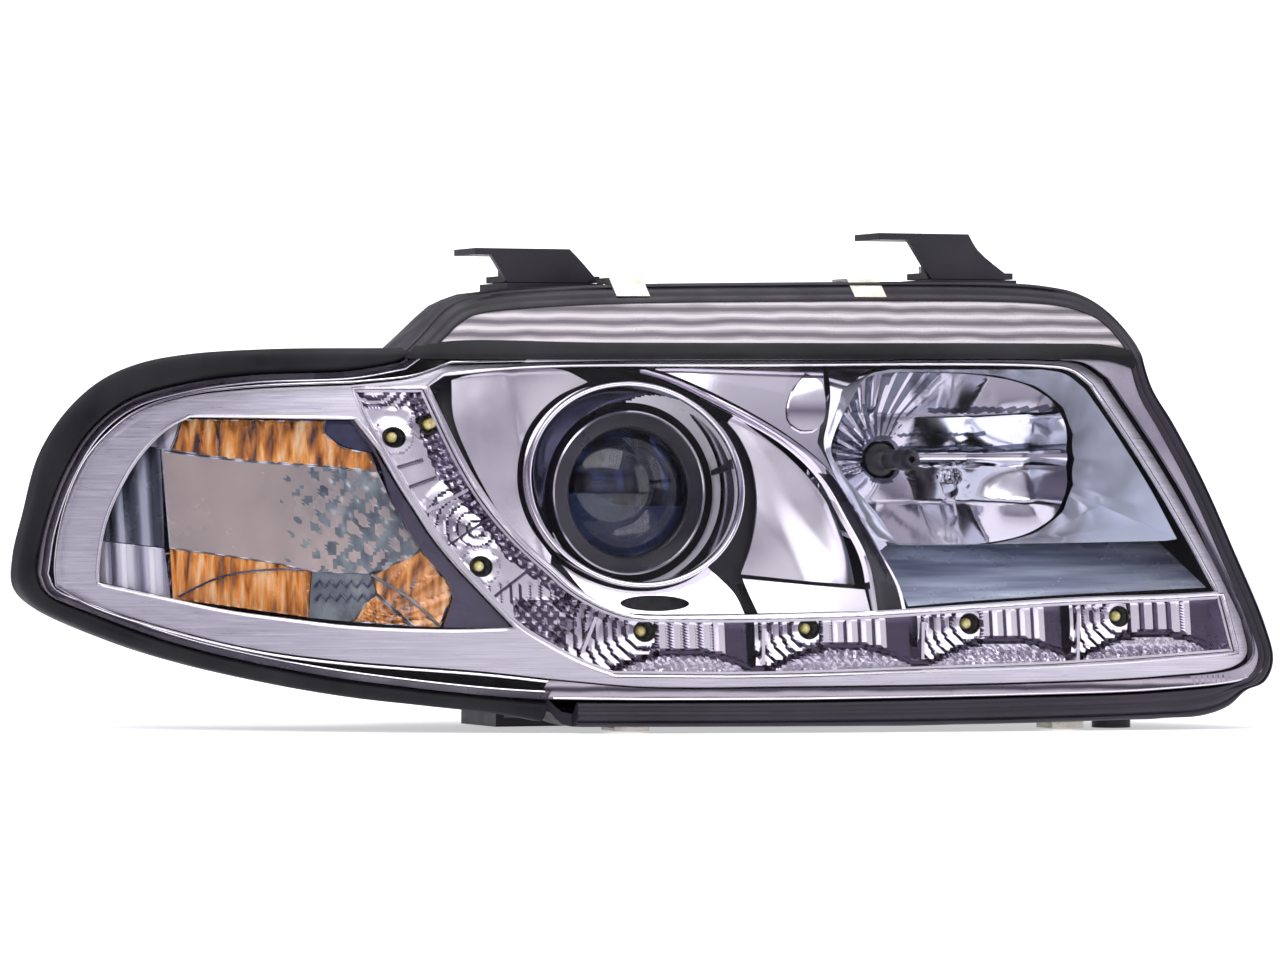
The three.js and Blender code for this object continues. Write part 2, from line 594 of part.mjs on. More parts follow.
// ---------------------------------------------------------------- LED strip
const LEDS = [[-114.7, 134], [-99.5, 140], [-83, 75], [-16, 45.5], [56.5, 46.5], [130.5, 48.5], [201.5, 51.5]];
const LED_HOLE = 4.8;
const TRAY = { front: 9.8, floor: 21, rear: 22.6, wall: 1.2 };
function ledTray() {
  const edge = offset(STRIP, -0.5);
  const shell = cut(drape(edge, TRAY.front, TRAY.rear), drape(offset(edge, -TRAY.wall), 0, TRAY.floor));
  const wall = (a, b) => {
    const across = new THREE.Vector2(a[1] - b[1], b[0] - a[0]).setLength(0.6);
    const ends = [[a[0] + across.x, a[1] + across.y], [b[0] + across.x, b[1] + across.y], [b[0] - across.x, b[1] - across.y], [a[0] - across.x, a[1] - across.y]];
    const strip = outline(ends.map((p, i) => [p, ends[(i + 1) % 4]]));
    return drape(strip, TRAY.front, TRAY.floor + 0.8).intersect(prism(edge));
  };
  const partitions = [
    wall([-34, 60], [-47, 28]),
    wall([36, 55], [34, 22]),
    wall([108.5, 58], [106.5, 24]),
    wall([181.7, 62], [179.5, 27]),
    wall([-112, 96], [-84, 112]),
  ];
  const holes = LEDS.map(([x, z]) => rod(x, z, LED_HOLE, -20, 250, 20));
  return cut(join(shell, ...partitions), ...holes);
}

const BOARD = { front: 29, rear: 30.6 };
const ledBoard = () => drape(offset(STRIP, -4), BOARD.front, BOARD.rear);

function led([x, z]) {
  const base = face(x - 3, z - 3) + BOARD.front - 4;
  return turned([[0, base - 11], [1.3, base - 10.6], [2.2, base - 9.6], [2.5, base - 8.3], [2.5, base - 1.2], [2.9, base - 1.2], [2.9, base], [0, base]], x, z, 14);
}

// ---------------------------------------------------------------- turn signal
const TURN_BOX = { front: 12.6, floor: 38.5, rear: 40 };
function turnReflector() {
  const wide = offset(TURN_WINDOW, 1.2);
  return cut(
    drape(wide, TURN_BOX.front, TURN_BOX.rear),
    drape(offset(TURN_WINDOW, -0.3), 0, TURN_BOX.floor),
    rod(TURN.x, TURN.z, 14.5, 120, 240, 20),
  );
}

const PANEL_SPLIT = -206; // the ribbed side panel lies outboard of this, the amber lens inboard
const turnInnerLens = () =>
  drape(offset(TURN_WINDOW, -1.2), 15.5, 17).intersect(box(PANEL_SPLIT + GAP, 0, -60, 400, 0, 200));
const turnSidePanel = () =>
  drape(offset(TURN_WINDOW, -1.2), 15.5, 17).intersect(box(-280, PANEL_SPLIT, -60, 400, 0, 200));

function turnBulbHolder() {
  const { x, z } = TURN;
  const barrel = turned([[0, 197], [11, 197], [11, 204], [16, 204], [16, 229.4], [21.5, 229.4], [21.5, 232], [15, 232], [15, 239], [0, 239]], x, z, 24);
  const grip = box(x - 17, x + 17, 231, 248, z - 2.2, z + 2.2);
  return cut(join(barrel, grip), rod(x, z, 7.9, 180, 212, 16));
}

function turnBulb() {
  const { x, z } = TURN;
  return turned([[0, 164], [5, 165], [9.5, 168.5], [12, 174], [12.3, 178], [10.5, 184], [7.5, 189], [7.5, 211.6], [0, 211.6]], x, z, 16);
}

// ---------------------------------------------------------------- projector on its aiming frame
// The funnel round the projector: its rim follows the face, its mouth is square to the projector.
function projectorRing() {
  const sides = 36;
  const angles = Array.from({ length: sides }, (_, i) => (i / sides) * Math.PI * 2);
  const rimLoop = (r, depth) =>
    angles.map((a) => {
      const x = RING.x + r * Math.cos(a);
      const z = RING.z + r * Math.sin(a);
      return new THREE.Vector3(x, face(x, z) + RING.front + depth, z);
    });
  const mouthLoop = (r, y) =>
    angles.map((a) => new THREE.Vector3(PROJECTOR.x + r * Math.cos(a), y, PROJECTOR.z + r * Math.sin(a)));
  const { r, mouth, rear } = RING;
  return skin([
    rimLoop(r, 7.5),
    rimLoop(r, 1.2),
    rimLoop(r - 1.2, 0),
    rimLoop(r - 2.4, 0.8),
    mouthLoop(mouth, rear),
    mouthLoop(mouth + 1.4, rear + 1),
    rimLoop(r - 2.2, 5.2),
    rimLoop(r - 1.6, 7.5),
  ], true);
}

function lensHolder() {
  const { x, z } = PROJECTOR;
  return turned([[30, 113.6], [36.5, 113], [38.3, 114.5], [38.3, 148], [47, 148], [47, 150.4], [36.8, 150.4], [36.8, 126], [32, 123], [32, 116.6], [30, 116.6]], x, z, 28);
}

function projectorLens() {
  const { x, z } = PROJECTOR;
  const edge = 31.5;
  const rise = 12.6;
  const bottom = 117.2;
  const domeRadius = (28.5 ** 2 + rise ** 2) / (2 * rise);
  const dome = [0, 0.3, 0.6, 0.8, 1].map((share) => {
    const r = 28.5 * share;
    return [r, bottom - rise + domeRadius - Math.sqrt(domeRadius ** 2 - r * r)];
  });
  return turned([...dome, [edge, bottom], [edge, 122], [0, 122]], x, z, 28);
}

function cutoffShield() {
  const { x, z } = PROJECTOR;
  const disc = rod(x, z, 36.4, 136, 137.2, 24);
  const above = outline([
    [[x - 60, z], [x - 4, z]],
    [[x - 4, z], [x + 4, z - 4]],
    [[x + 4, z - 4], [x + 60, z - 4]],
    [[x + 60, z - 4], [x + 60, z + 60]],
    [[x + 60, z + 60], [x - 60, z + 60]],
    [[x - 60, z + 60], [x - 60, z]],
  ]);
  return cut(disc, prism(above));
}

const ELLIPSE = { front: 151, rear: 202, mouth: 41, neck: 12.5, wall: 1.5 };
function projectorReflector() {
  const { x, z } = PROJECTOR;
  const { front, rear, mouth, neck, wall } = ELLIPSE;
  const bowl = (grow) =>
    [0, 0.3, 0.6, 0.82, 0.95, 1].map((s) => [
      neck + (mouth - neck) * Math.sqrt(1 - s * s) + grow,
      THREE.MathUtils.lerp(front, rear, s),
    ]);
  const flange = [[mouth + wall, front + 2.4], [47, front + 2.4], [47, front]];
  return turned([...bowl(0), ...bowl(wall).slice(1).reverse(), ...flange], x, z, 26);
}

// A single-filament bulb: glass pointing forwards, flange, ceramic foot and blade.
function bulb(x, z, seat, glass, tip) {
  return turned([[0, tip], [2.6, tip + 0.8], [glass, tip + 4], [glass, seat - 14], [7, seat - 12], [7, seat], [11.5, seat], [11.5, seat + 1.6], [6.5, seat + 1.6], [6.5, seat + 9], [3, seat + 9], [3, seat + 15], [0, seat + 15]], x, z, 14);
}

const LOW_SEAT = 203.6;
const HIGH_SEAT = 146.6;
// The wire clip that holds a bulb's flange, hinged on two ears above it.
const CLIP = { half: 13, rise: 17, drop: 15, wire: 0.7 };
function bulbClip(x, z, seat) {
  const y = seat + 3.2;
  return wire([
    [x - CLIP.half, y, z + CLIP.rise],
    [x - CLIP.half + 1, y, z + 6],
    [x - 9, y, z - 4],
    [x - 8, y, z - 10],
    [x, y + 1, z - CLIP.drop],
    [x + 8, y, z - 10],
    [x + 9, y, z - 4],
    [x + CLIP.half - 1, y, z + 6],
    [x + CLIP.half, y, z + CLIP.rise],
  ], CLIP.wire);
}

const FRAME = { x0: -60, x1: 192, z0: 44, z1: 170, y0: 144, y1: 147.6 };
const BALL = 5;
const LINER = { rIn: 5.3, rOut: 7.6, front: 148.5, rear: 155.5 };
function carrierFrame() {
  const plate = outline([
    [[FRAME.x0 + 8, 66], [-30, 56], [54, FRAME.z0]],
    [[54, FRAME.z0], [80, FRAME.z0]],
    [[80, FRAME.z0], [110, 84], [170, 96], [FRAME.x1, 118]],
    [[FRAME.x1, 118], [FRAME.x1, FRAME.z1]],
    [[FRAME.x1, FRAME.z1], [-30, FRAME.z1]],
    [[-30, FRAME.z1], [FRAME.x0, 140], [FRAME.x0 + 8, 66]],
  ], 3);
  const sockets = [[PIVOT.x, PIVOT.z, LINER.rOut + 0.8], [PIVOT.x, LEVEL_Z, BALL + 0.6], [SIDE_X, PIVOT.z, BALL + 0.6]];
  const bosses = sockets.map(([x, z, r]) => rod(x, z, r + 2.6, FRAME.y0 + 1, 156, 16));
  const cups = sockets.map(([x, z, r]) => rod(x, z, r, 146.2, 157, 16));
  return cut(
    join(prism(plate, FRAME.y0, FRAME.y1), ...bosses),
    ...cups,
    rod(PROJECTOR.x, PROJECTOR.z, 39.2, 130, 160, 28),
    rod(HIGH_BEAM.x, HIGH_BEAM.z, 16, 130, 160, 20),
    rod(HIGH_BEAM.x + 30, HIGH_BEAM.z - 8, 8.2, 130, 160, 16),
  );
}

function highBeamReflector() {
  const { centreX, centreZ, halfWidth, halfHeight } = HIGH_BEAM;
  const rim = 77;
  const floor = 137;
  const wall = 1.6;
  const angles = Array.from({ length: 28 }, (_, i) => (i / 28) * Math.PI * 2);
  const loop = (share, y, grow) =>
    angles.map((a) => {
      const c = { x: THREE.MathUtils.lerp(HIGH_BEAM.x, centreX, share), z: THREE.MathUtils.lerp(HIGH_BEAM.z, centreZ, share) };
      const rx = THREE.MathUtils.lerp(11, halfWidth, share) + grow;
      const rz = THREE.MathUtils.lerp(11, halfHeight, share) + grow;
      return new THREE.Vector3(c.x + rx * Math.cos(a), y, c.z + rz * Math.sin(a));
    });
  const shares = [1, 0.75, 0.45, 0.2, 0];
  const depthOf = (share) => floor - (floor - rim) * share ** 1.8;
  const inner = shares.map((s) => loop(s, depthOf(s), 0));
  const outer = [...shares].reverse().map((s) => loop(s, depthOf(s) + (s === 1 ? 0 : wall), s === 0 ? 3 : wall));
  const neck = [loop(0, 146.2, 0), loop(0, 146.2, 3)];
  const bowl = skin([...inner, ...neck, ...outer], true);
  return cut(bowl, rod(HIGH_BEAM.x + 30, HIGH_BEAM.z - 8, 6, 90, 160, 16));
}

function parkingHolder() {
  const x = HIGH_BEAM.x + 30;
  const z = HIGH_BEAM.z - 8;
  const body = turned([[0, 134], [5.2, 134], [5.2, 148], [11, 148], [11, 150.6], [5, 150.6], [5, 156], [0, 156]], x, z, 16);
  return cut(body, rod(x, z, 4.3, 130, 138, 16));
}

const parkingBulb = () =>
  turned([[0, 112], [2, 112.6], [4, 115], [4, 137.6], [0, 137.6]], HIGH_BEAM.x + 30, HIGH_BEAM.z - 8, 14);

// ---------------------------------------------------------------- aiming and levelling
function ballStud(x, z, y1) {
  const ball = Array.from({ length: 7 }, (_, i) => {
    const a = (i / 6) * 2.55;
    return [BALL * Math.sin(a), PIVOT.y - BALL * Math.cos(a)];
  });
  return turned([...ball, [2.9, y1], [0, y1]], x, z, 12);
}

// The nylon liner that the frame turns on, snapped over the fixed ball.
const pivotSocket = () => tube(PIVOT.x, PIVOT.z, LINER.rIn, LINER.rOut, LINER.front, LINER.rear, 16);

function levellingMotor() {
  const m = MOTOR;
  const body = box(m.x0, m.x1, m.y0, m.y1, m.z0, m.z1);
  const neck = rod(PIVOT.x, LEVEL_Z, m.neck, 190, m.y0 + 1, 24);
  const plug = box(m.x0 + 10, m.x1 - 10, m.y0 + 8, m.y0 + 26, m.z0 - 12, m.z0 + 1);
  const plugHole = box(m.x0 + 12, m.x1 - 12, m.y0 + 10, m.y0 + 24, m.z0 - 13, m.z0 - 3);
  const bore = rod(PIVOT.x, LEVEL_Z, 3.4, 180, m.y0 + 20, 16);
  const knobBore = rod(PIVOT.x, LEVEL_Z, 3.4, m.y1 - 8, m.y1 + 1, 16);
  return cut(join(body, neck, plug), plugHole, bore, knobBore);
}

// A knurled screw head with a spigot that turns in the piece in front of it.
function adjuster(x, z, y0, spigotFront) {
  const lobes = 12;
  const ring = Array.from({ length: lobes * 2 }, (_, i) => {
    const a = (i / (lobes * 2)) * Math.PI * 2;
    const r = i % 2 ? 8.2 : 9.4;
    return new THREE.Vector2(x + r * Math.cos(a), z + r * Math.sin(a));
  });
  const head = prism(ring, y0, y0 + 9);
  return cut(join(head, rod(x, z, 2.9, spigotFront, y0 + 1, 14)), rod(x, z, 4, y0 + 5, y0 + 12, 6));
}

function dustCap({ x, z }, collar, front, end) {
  const rIn = collar.rOut + 0.5;
  const rOut = rIn + 2.6;
  const shell = turned([[0, end - 2.4], [rIn - 6, end - 2.4], [rIn, end - 8], [rIn, front], [rOut, front], [rOut, end - 7], [rOut - 6, end], [0, end]], x, z, 44);
  const pull = box(x - 14, x + 14, end - 1, end + 7, z - 2, z + 2);
  return join(shell, pull);
}

function wiringSocket() {
  const y0 = 208.8;
  const y1 = 232;
  const shroud = cut(box(-104, -66, y0, y1, 44, 66), box(-102, -68, y0 + 5, y1 + 1, 46, 64));
  const flange = box(-108, -62, y0, y0 + 3, 41, 69);
  const key = box(-88, -82, y0 + 3, y1 - 3, 66, 68.5);
  const pins = [-96, -88, -82, -74].flatMap((x) => [51, 59].map((z) => box(x - 0.6, x + 0.6, y0 + 2, y1 - 8, z - 0.6, z + 0.6)));
  return join(shroud, flange, key, ...pins);
}

const ventCap = () => turned([[0, 196], [3.4, 196], [3.4, 209.6], [9, 209.6], [9, 215], [7.5, 216.5], [0, 216.5]], -100, 140, 24);

// ---------------------------------------------------------------- assembly
place('housing', housing(), BLACK_PLASTIC);
place('front_lens', frontLens(), CLEAR_LENS);
place('corner_seal', cornerSeal(), BLACK_RUBBER);
place('hood_seal', hoodSeal(), BLACK_RUBBER);
[-5, 103].forEach((x, i) => place(`lens_clip_${i + 1}`, topClip(x), SPRING_STEEL));
[-25, 172].forEach((x, i) => place(`lens_clip_${i + 3}`, bottomClip(x), SPRING_STEEL));
place('outer_bracket', upperBracket(OUTER_PAD, -65, -24, -71, 222), BLACK_PLASTIC);
place('inner_bracket', upperBracket(INNER_PAD, 127, 160, 114, 230), BLACK_PLASTIC);
[OUTER_PAD, INNER_PAD].forEach((pad, p) =>
  padScrews(pad).forEach((spot, i) => place(`bracket_screw_${p * 2 + i + 1}`, bracketScrew(spot, pad), SCREW_STEEL)),
);
place('lower_bracket', lowerBracket(), BLACK_PLASTIC);

place('inner_bezel', innerBezel(), SATIN_SILVER);
place('projector_bezel', projectorBezel(), CHROME);
place('projector_ring', projectorRing(), CHROME);
place('arc_rim', arcRim(), CHROME);
place('high_beam_surround', highBeamSurround(), CHROME);
place('divider_panel', dividerPanel(), DARK_TRIM);
place('led_tray', ledTray(), CHROME);
place('led_board', ledBoard(), BOARD_GREEN);
LEDS.forEach((spot, i) => place(`led_${i + 1}`, led(spot), LED_YELLOW));

place('turn_reflector', turnReflector(), CHROME);
place('turn_inner_lens', turnInnerLens(), AMBER);
place('turn_side_panel', turnSidePanel(), DARK_TRIM);
place('turn_bulb_holder', turnBulbHolder(), GREY_NYLON);
place('turn_bulb', turnBulb(), BULB_GLASS);

place('carrier_frame', carrierFrame(), BLACK_PLASTIC);
place('lens_holder', lensHolder(), DARK_TRIM);
place('projector_lens', projectorLens(), PROJECTOR_GLASS);
place('cutoff_shield', cutoffShield(), SCREW_STEEL);
place('projector_reflector', projectorReflector(), CHROME);
place('low_beam_bulb', bulb(PROJECTOR.x, PROJECTOR.z, LOW_SEAT, 4.6, 168), BULB_GLASS);
place('low_bulb_clip', bulbClip(PROJECTOR.x, PROJECTOR.z, LOW_SEAT), SPRING_STEEL);
place('high_beam_reflector', highBeamReflector(), CHROME);
place('high_beam_bulb', bulb(HIGH_BEAM.x, HIGH_BEAM.z, HIGH_SEAT, 4.6, 98), BULB_GLASS);
place('high_bulb_clip', bulbClip(HIGH_BEAM.x, HIGH_BEAM.z, HIGH_SEAT), SPRING_STEEL);
place('parking_bulb_holder', parkingHolder(), GREY_NYLON);
place('parking_bulb', parkingBulb(), BULB_GLASS);

place('pivot_ball', ballStud(PIVOT.x, PIVOT.z, 204), GREY_NYLON);
place('pivot_socket', pivotSocket(), GREY_NYLON);
place('levelling_rod', ballStud(PIVOT.x, LEVEL_Z, 218), GREY_NYLON);
place('side_adjuster_rod', ballStud(SIDE_X, PIVOT.z, 170.4), GREY_NYLON);
place('levelling_motor', levellingMotor(), BLACK_PLASTIC);
place('height_adjuster', adjuster(PIVOT.x, LEVEL_Z, 246.6, 239.5), GREY_NYLON);
place('side_adjuster', adjuster(SIDE_X, PIVOT.z, 177, 174), GREY_NYLON);

place('low_beam_cap', dustCap(PROJECTOR, LOW_COLLAR, 214, 246), BLACK_RUBBER);
place('high_beam_cap', dustCap(HIGH_BEAM, HIGH_COLLAR, 199.5, 222), BLACK_RUBBER);
place('wiring_socket', wiringSocket(), BLACK_PLASTIC);
place('vent_cap', ventCap(), BLACK_RUBBER);

headlight.position.set(-ORIGIN.x, -ORIGIN.y, -ORIGIN.z);

export default headlight;
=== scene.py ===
"""A car headlight assembly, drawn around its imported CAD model.

Sizes are in millimetres in the CAD's own layout, whose front datum is shifted by SHIFT_X and SHIFT_Y
from the middle of the finished box; world() turns a place into the frame's metres.
"""

import json
import math

import bmesh
import bpy
import numpy as np
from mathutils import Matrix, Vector
from mathutils.bvhtree import BVHTree
from mathutils.geometry import delaunay_2d_cdt

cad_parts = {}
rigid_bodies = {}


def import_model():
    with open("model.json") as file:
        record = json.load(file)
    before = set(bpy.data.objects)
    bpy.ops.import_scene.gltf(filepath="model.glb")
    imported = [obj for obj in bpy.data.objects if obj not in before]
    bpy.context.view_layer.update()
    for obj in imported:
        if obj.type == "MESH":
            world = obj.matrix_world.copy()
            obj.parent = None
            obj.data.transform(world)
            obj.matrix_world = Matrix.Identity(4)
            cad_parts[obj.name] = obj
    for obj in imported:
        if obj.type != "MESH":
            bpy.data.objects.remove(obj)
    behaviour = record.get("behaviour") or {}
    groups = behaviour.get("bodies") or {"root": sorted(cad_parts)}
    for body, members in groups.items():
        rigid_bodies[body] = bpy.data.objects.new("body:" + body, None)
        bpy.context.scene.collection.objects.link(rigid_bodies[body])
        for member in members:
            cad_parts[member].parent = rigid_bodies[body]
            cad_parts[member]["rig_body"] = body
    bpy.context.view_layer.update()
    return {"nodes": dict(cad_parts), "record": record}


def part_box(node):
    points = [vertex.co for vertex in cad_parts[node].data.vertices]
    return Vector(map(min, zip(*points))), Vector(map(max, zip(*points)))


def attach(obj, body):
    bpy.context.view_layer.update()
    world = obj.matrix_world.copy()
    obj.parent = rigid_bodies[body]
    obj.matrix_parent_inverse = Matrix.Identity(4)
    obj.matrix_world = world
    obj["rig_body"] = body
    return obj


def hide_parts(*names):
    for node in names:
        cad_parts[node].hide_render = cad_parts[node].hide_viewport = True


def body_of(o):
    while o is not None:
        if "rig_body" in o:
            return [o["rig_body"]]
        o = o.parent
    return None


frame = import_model()

# ---------------------------------------------------------------- driving dimensions
MM = 0.001
LENS_RIGHT = 267.5
LENS_WIDTH = 535
HOOD_LINE = 172
LENS_WALL = 2.8
LENS_EDGE = 14
SHIFT_X = 266.5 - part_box("front_lens")[1].x / MM
SHIFT_Y = 253.0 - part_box("low_beam_cap")[1].y / MM

PROJECTOR = (-8, 108.5)
HIGH_BEAM = (128, 124)
RING = {"x": -15.7, "z": 112.6, "r": 47.4, "front": 9.5, "mouth": 41.6, "rear": 113.6}
PANEL_FRONT = 10.5
LEDS = [(-114.7, 134), (-99.5, 140), (-83, 75), (-16, 45.5), (56.5, 46.5), (130.5, 48.5), (201.5, 51.5)]

# How near two corners of a mesh are joined, in metres: this script's own meshes and the CAD's.
WELD = 1e-6
CAD_WELD = 2e-5

CAMERA_TURN = math.radians(22)
CAMERA_DISTANCE = 3.0
VIEW_WIDTH = 0.595
VIEW_CENTRE = (0.0012, 0.1145)


# ---------------------------------------------------------------- the lens surface
def sweep(x):
    t = (LENS_RIGHT - x) / LENS_WIDTH
    return 60 * t + 50 * t**2 + 115 * t**4


def face(x, z):
    """Depth of the clear lens's outer face at a place seen from the front."""
    in_face = min(z, HOOD_LINE)
    return sweep(x) + 0.2 * (z - 17) + 5 * ((in_face - 95) / 80) ** 2 + 0.9 * max(0, z - HOOD_LINE)


def behind_face(places, depth):
    """Places seen from the front, each set at this depth behind the lens's outer face."""
    return [(x, face(x, z) + depth, z) for x, z in places]


def world(x, y, z):
    return Vector(((x - SHIFT_X) * MM, (y - SHIFT_Y) * MM, z * MM))


def lerp(a, b, t):
    return a + (b - a) * t


def smoothstep(low, high, value):
    t = min(max((value - low) / (high - low), 0), 1)
    return t * t * (3 - 2 * t)


# ---------------------------------------------------------------- outlines in the front view
def smooth_run(points, step):
    """Places about step apart on a curve through the points, without the last one."""
    if len(points) == 2:
        a, b = np.array(points, float)
        count = max(1, round(float(np.hypot(*(b - a))) / step))
        return [tuple(lerp(a, b, i / count)) for i in range(count)]
    knots = np.array(points, float)
    ends = [2 * knots[0] - knots[1], *knots, 2 * knots[-1] - knots[-2]]
    places = []
    for p0, p1, p2, p3 in zip(ends, ends[1:], ends[2:], ends[3:]):
        t0, t1, t2 = (max(np.hypot(*(b - a)) ** 0.5, 1e-4) for a, b in ((p0, p1), (p1, p2), (p2, p3)))
        m1 = (p1 - p0) / t0 - (p2 - p0) / (t0 + t1) + (p2 - p1) / t1
        m2 = (p2 - p1) / t1 - (p3 - p1) / (t1 + t2) + (p3 - p2) / t2
        m1, m2 = m1 * t1, m2 * t1
        count = max(1, round(float(np.hypot(*(p2 - p1))) / step))
        for i in range(count):
            t = i / count
            a = 2 * t**3 - 3 * t**2 + 1
            b = t**3 - 2 * t**2 + t
            c = 3 * t**2 - 2 * t**3
            d = t**3 - t**2
            places.append(tuple(a * p1 + b * m1 + c * p2 + d * m2))
    return places


def outline(runs, step=2.5):
    """A closed outline: each run is a smooth curve, and runs meet at corners."""
    points = [p for run in runs for p in smooth_run(run, step)]
    last = runs[-1][-1]
    if math.dist(points[0], last) > 0.05:
        points.append(tuple(last))
    area = sum(a[0] * b[1] - b[0] * a[1] for a, b in zip(points, points[1:] + points[:1]))
    return points if area > 0 else points[::-1]


def offset(points, distance):
    """The outline moved outwards, or inwards if the distance is negative."""
    p = np.array(points)
    along = np.roll(p, -1, 0) - np.roll(p, 1, 0)
    along /= np.maximum(np.hypot(along[:, 0], along[:, 1]), 1e-9)[:, None]
    return [tuple(q) for q in p + distance * np.stack([along[:, 1], -along[:, 0]], 1)]


def circle(x, z, r, sides=96):
    turns = [2 * math.pi * i / sides for i in range(sides)]
    return [(x + r * math.cos(a), z + r * math.sin(a)) for a in turns]


def oval(x, z, half_width, half_height, sides=64):
    turns = [2 * math.pi * i / sides for i in range(sides)]
    return [(x + half_width * math.cos(a), z + half_height * math.sin(a)) for a in turns]


def arc(x, z, r, start, end, count=24):
    turns = [math.radians(lerp(start, end, i / count)) for i in range(count + 1)]
    return [(x + r * math.cos(a), z + r * math.sin(a)) for a in turns]


LENS = outline([
    [(-257, 71), (-254, 62), (-239, 53.5), (-207, 39.5), (-162, 27.5), (-115, 20), (-70, 15.5),
     (-22, 14.5)],
    [(-22, 14.5), (50, 14.5)],
    [(50, 14.5), (143, 16), (214, 18), (254, 22), (264, 26), (266.5, 33), (264, 45), (252, 77.5),
     (240, 110), (228, 138)],
    [(228, 138), (220, 154), (217.5, 168), (217, 178), (211, 191), (203, 198), (190, 201.5),
     (168, 203)],
    [(168, 203), (60, 202.5), (-30, 200.5), (-72, 197), (-84, 192)],
    [(-84, 192), (-100, 178), (-112, 168.5)],
    [(-112, 168.5), (-132, 164.5), (-173, 162.5), (-200, 158), (-219, 151), (-233.5, 138),
     (-245, 117.5), (-253.5, 92), (-257, 71)],
])

BEZEL = outline([
    [(-250, 66), (-250, 76), (-246, 99), (-238, 121), (-228.5, 134.5), (-216, 145.5), (-198, 152.5),
     (-174, 156), (-132, 158)],
    [(-132, 158), (-108, 161), (-92, 167)],
    [(-92, 167), (-26, 168.5), (64, 169), (176, 169.5), (192, 168), (202, 161)],
    [(202, 161), (226, 118.5), (246, 77.5), (258, 50)],
    [(258, 50), (260, 34), (254, 28.5), (217, 24), (145, 21.5), (52, 20.5), (-19, 20.5), (-54, 23.5)],
    [(-54, 23.5), (-87.5, 27.5), (-141, 32), (-175.5, 37), (-205, 45), (-236.5, 57), (-250, 66)],
])

BEZEL_EDGE = offset(BEZEL, 0.6)

STRIP_OUTER = [(-131, 156), (-127, 143), (-121, 129), (-114.5, 114), (-108.5, 102), (-102, 89.5),
               (-94, 77.5), (-84.5, 65.5), (-70.5, 48.5), (-58, 39.5), (-45, 32), (-31, 26.2)]
STRIP_INNER = [(-18, 51.2), (-25, 52.2), (-36.5, 56.8), (-48.5, 64.8), (-56.5, 73), (-65, 81.5),
               (-74.5, 93), (-83.5, 107), (-91, 123), (-97, 139.5), (-102.5, 156)]
STRIP_FOOT = [(-31, 26.2), (32, 25.8), (106.5, 27.8), (179.5, 30.2), (255, 35)]
STRIP_TOP = [(249.5, 60.8), (222.5, 59.5), (181.5, 58.4), (133.5, 55.6), (83.5, 52.4), (27, 50.9),
             (-18, 51.2)]
STRIP = outline([STRIP_OUTER, STRIP_FOOT, [(255, 35), (249.5, 60.8)], STRIP_TOP, STRIP_INNER,
                 [(-102.5, 156), (-131, 156)]])

TURN_WINDOW = outline([
    [(-234, 67), (-233.5, 76), (-230, 95), (-223, 112.5), (-214.5, 127), (-204, 138.5), (-196, 143.3)],
    [(-196, 143.3), (-129.5, 142)],
    [(x - 2.2, z - 1.2) for x, z in STRIP_OUTER[2:9]],
    [(-72.7, 47.3), (-100.5, 46.5), (-138, 48), (-162, 51), (-187, 55), (-207, 60), (-234, 67)],
])

MAIN_RIGHT = [(196, 158), (222, 112), (243, 70), (246.5, 62.8)]
MAIN_WINDOW = outline([
    [(x + 2, z + 1.4) for x, z in STRIP_INNER],
    [(-100.5, 157.4), (-94, 162)],
    [(-94, 162), (-60, 165.5), (40, 166.5), (176, 166.5), (188, 164.5), (196, 158)],
    MAIN_RIGHT,
    [(246.5, 62.8), (222.5, 61.7), (181.5, 60.6), (133.5, 57.8), (83.5, 54.6), (27, 53.1), (-16, 52.6)],
])

# The bright arc between the projector and the high beam, along both its edges.
ARC_INNER = [(-16, 165), (1.1, 159.8), (22.3, 148.6), (50.8, 130.7), (66.1, 114.9), (75.4, 96.3),
             (83.3, 77.7), (85.6, 54.6)]
ARC_OUTER = [(100.6, 55.4), (98.5, 65.3), (91.2, 80.8), (80, 102.5), (70.5, 118.6), (52, 135),
             (24, 152), (3, 162), (-6, 165)]


# ---------------------------------------------------------------- meshes
def inside(points, loops):
    """Whether each point lies inside the outlines, where an outline within another is a hole."""
    p = np.array(points, float).reshape(-1, 2)
    odd = np.zeros(len(p), bool)
    for loop in loops:
        a = np.array(loop, float)
        b = np.roll(a, -1, 0)
        for (ax, az), (bx, bz) in zip(a, b):
            if az == bz:
                continue
            crosses = (az > p[:, 1]) != (bz > p[:, 1])
            odd ^= crosses & (p[:, 0] < ax + (p[:, 1] - az) * (bx - ax) / (bz - az))
    return odd


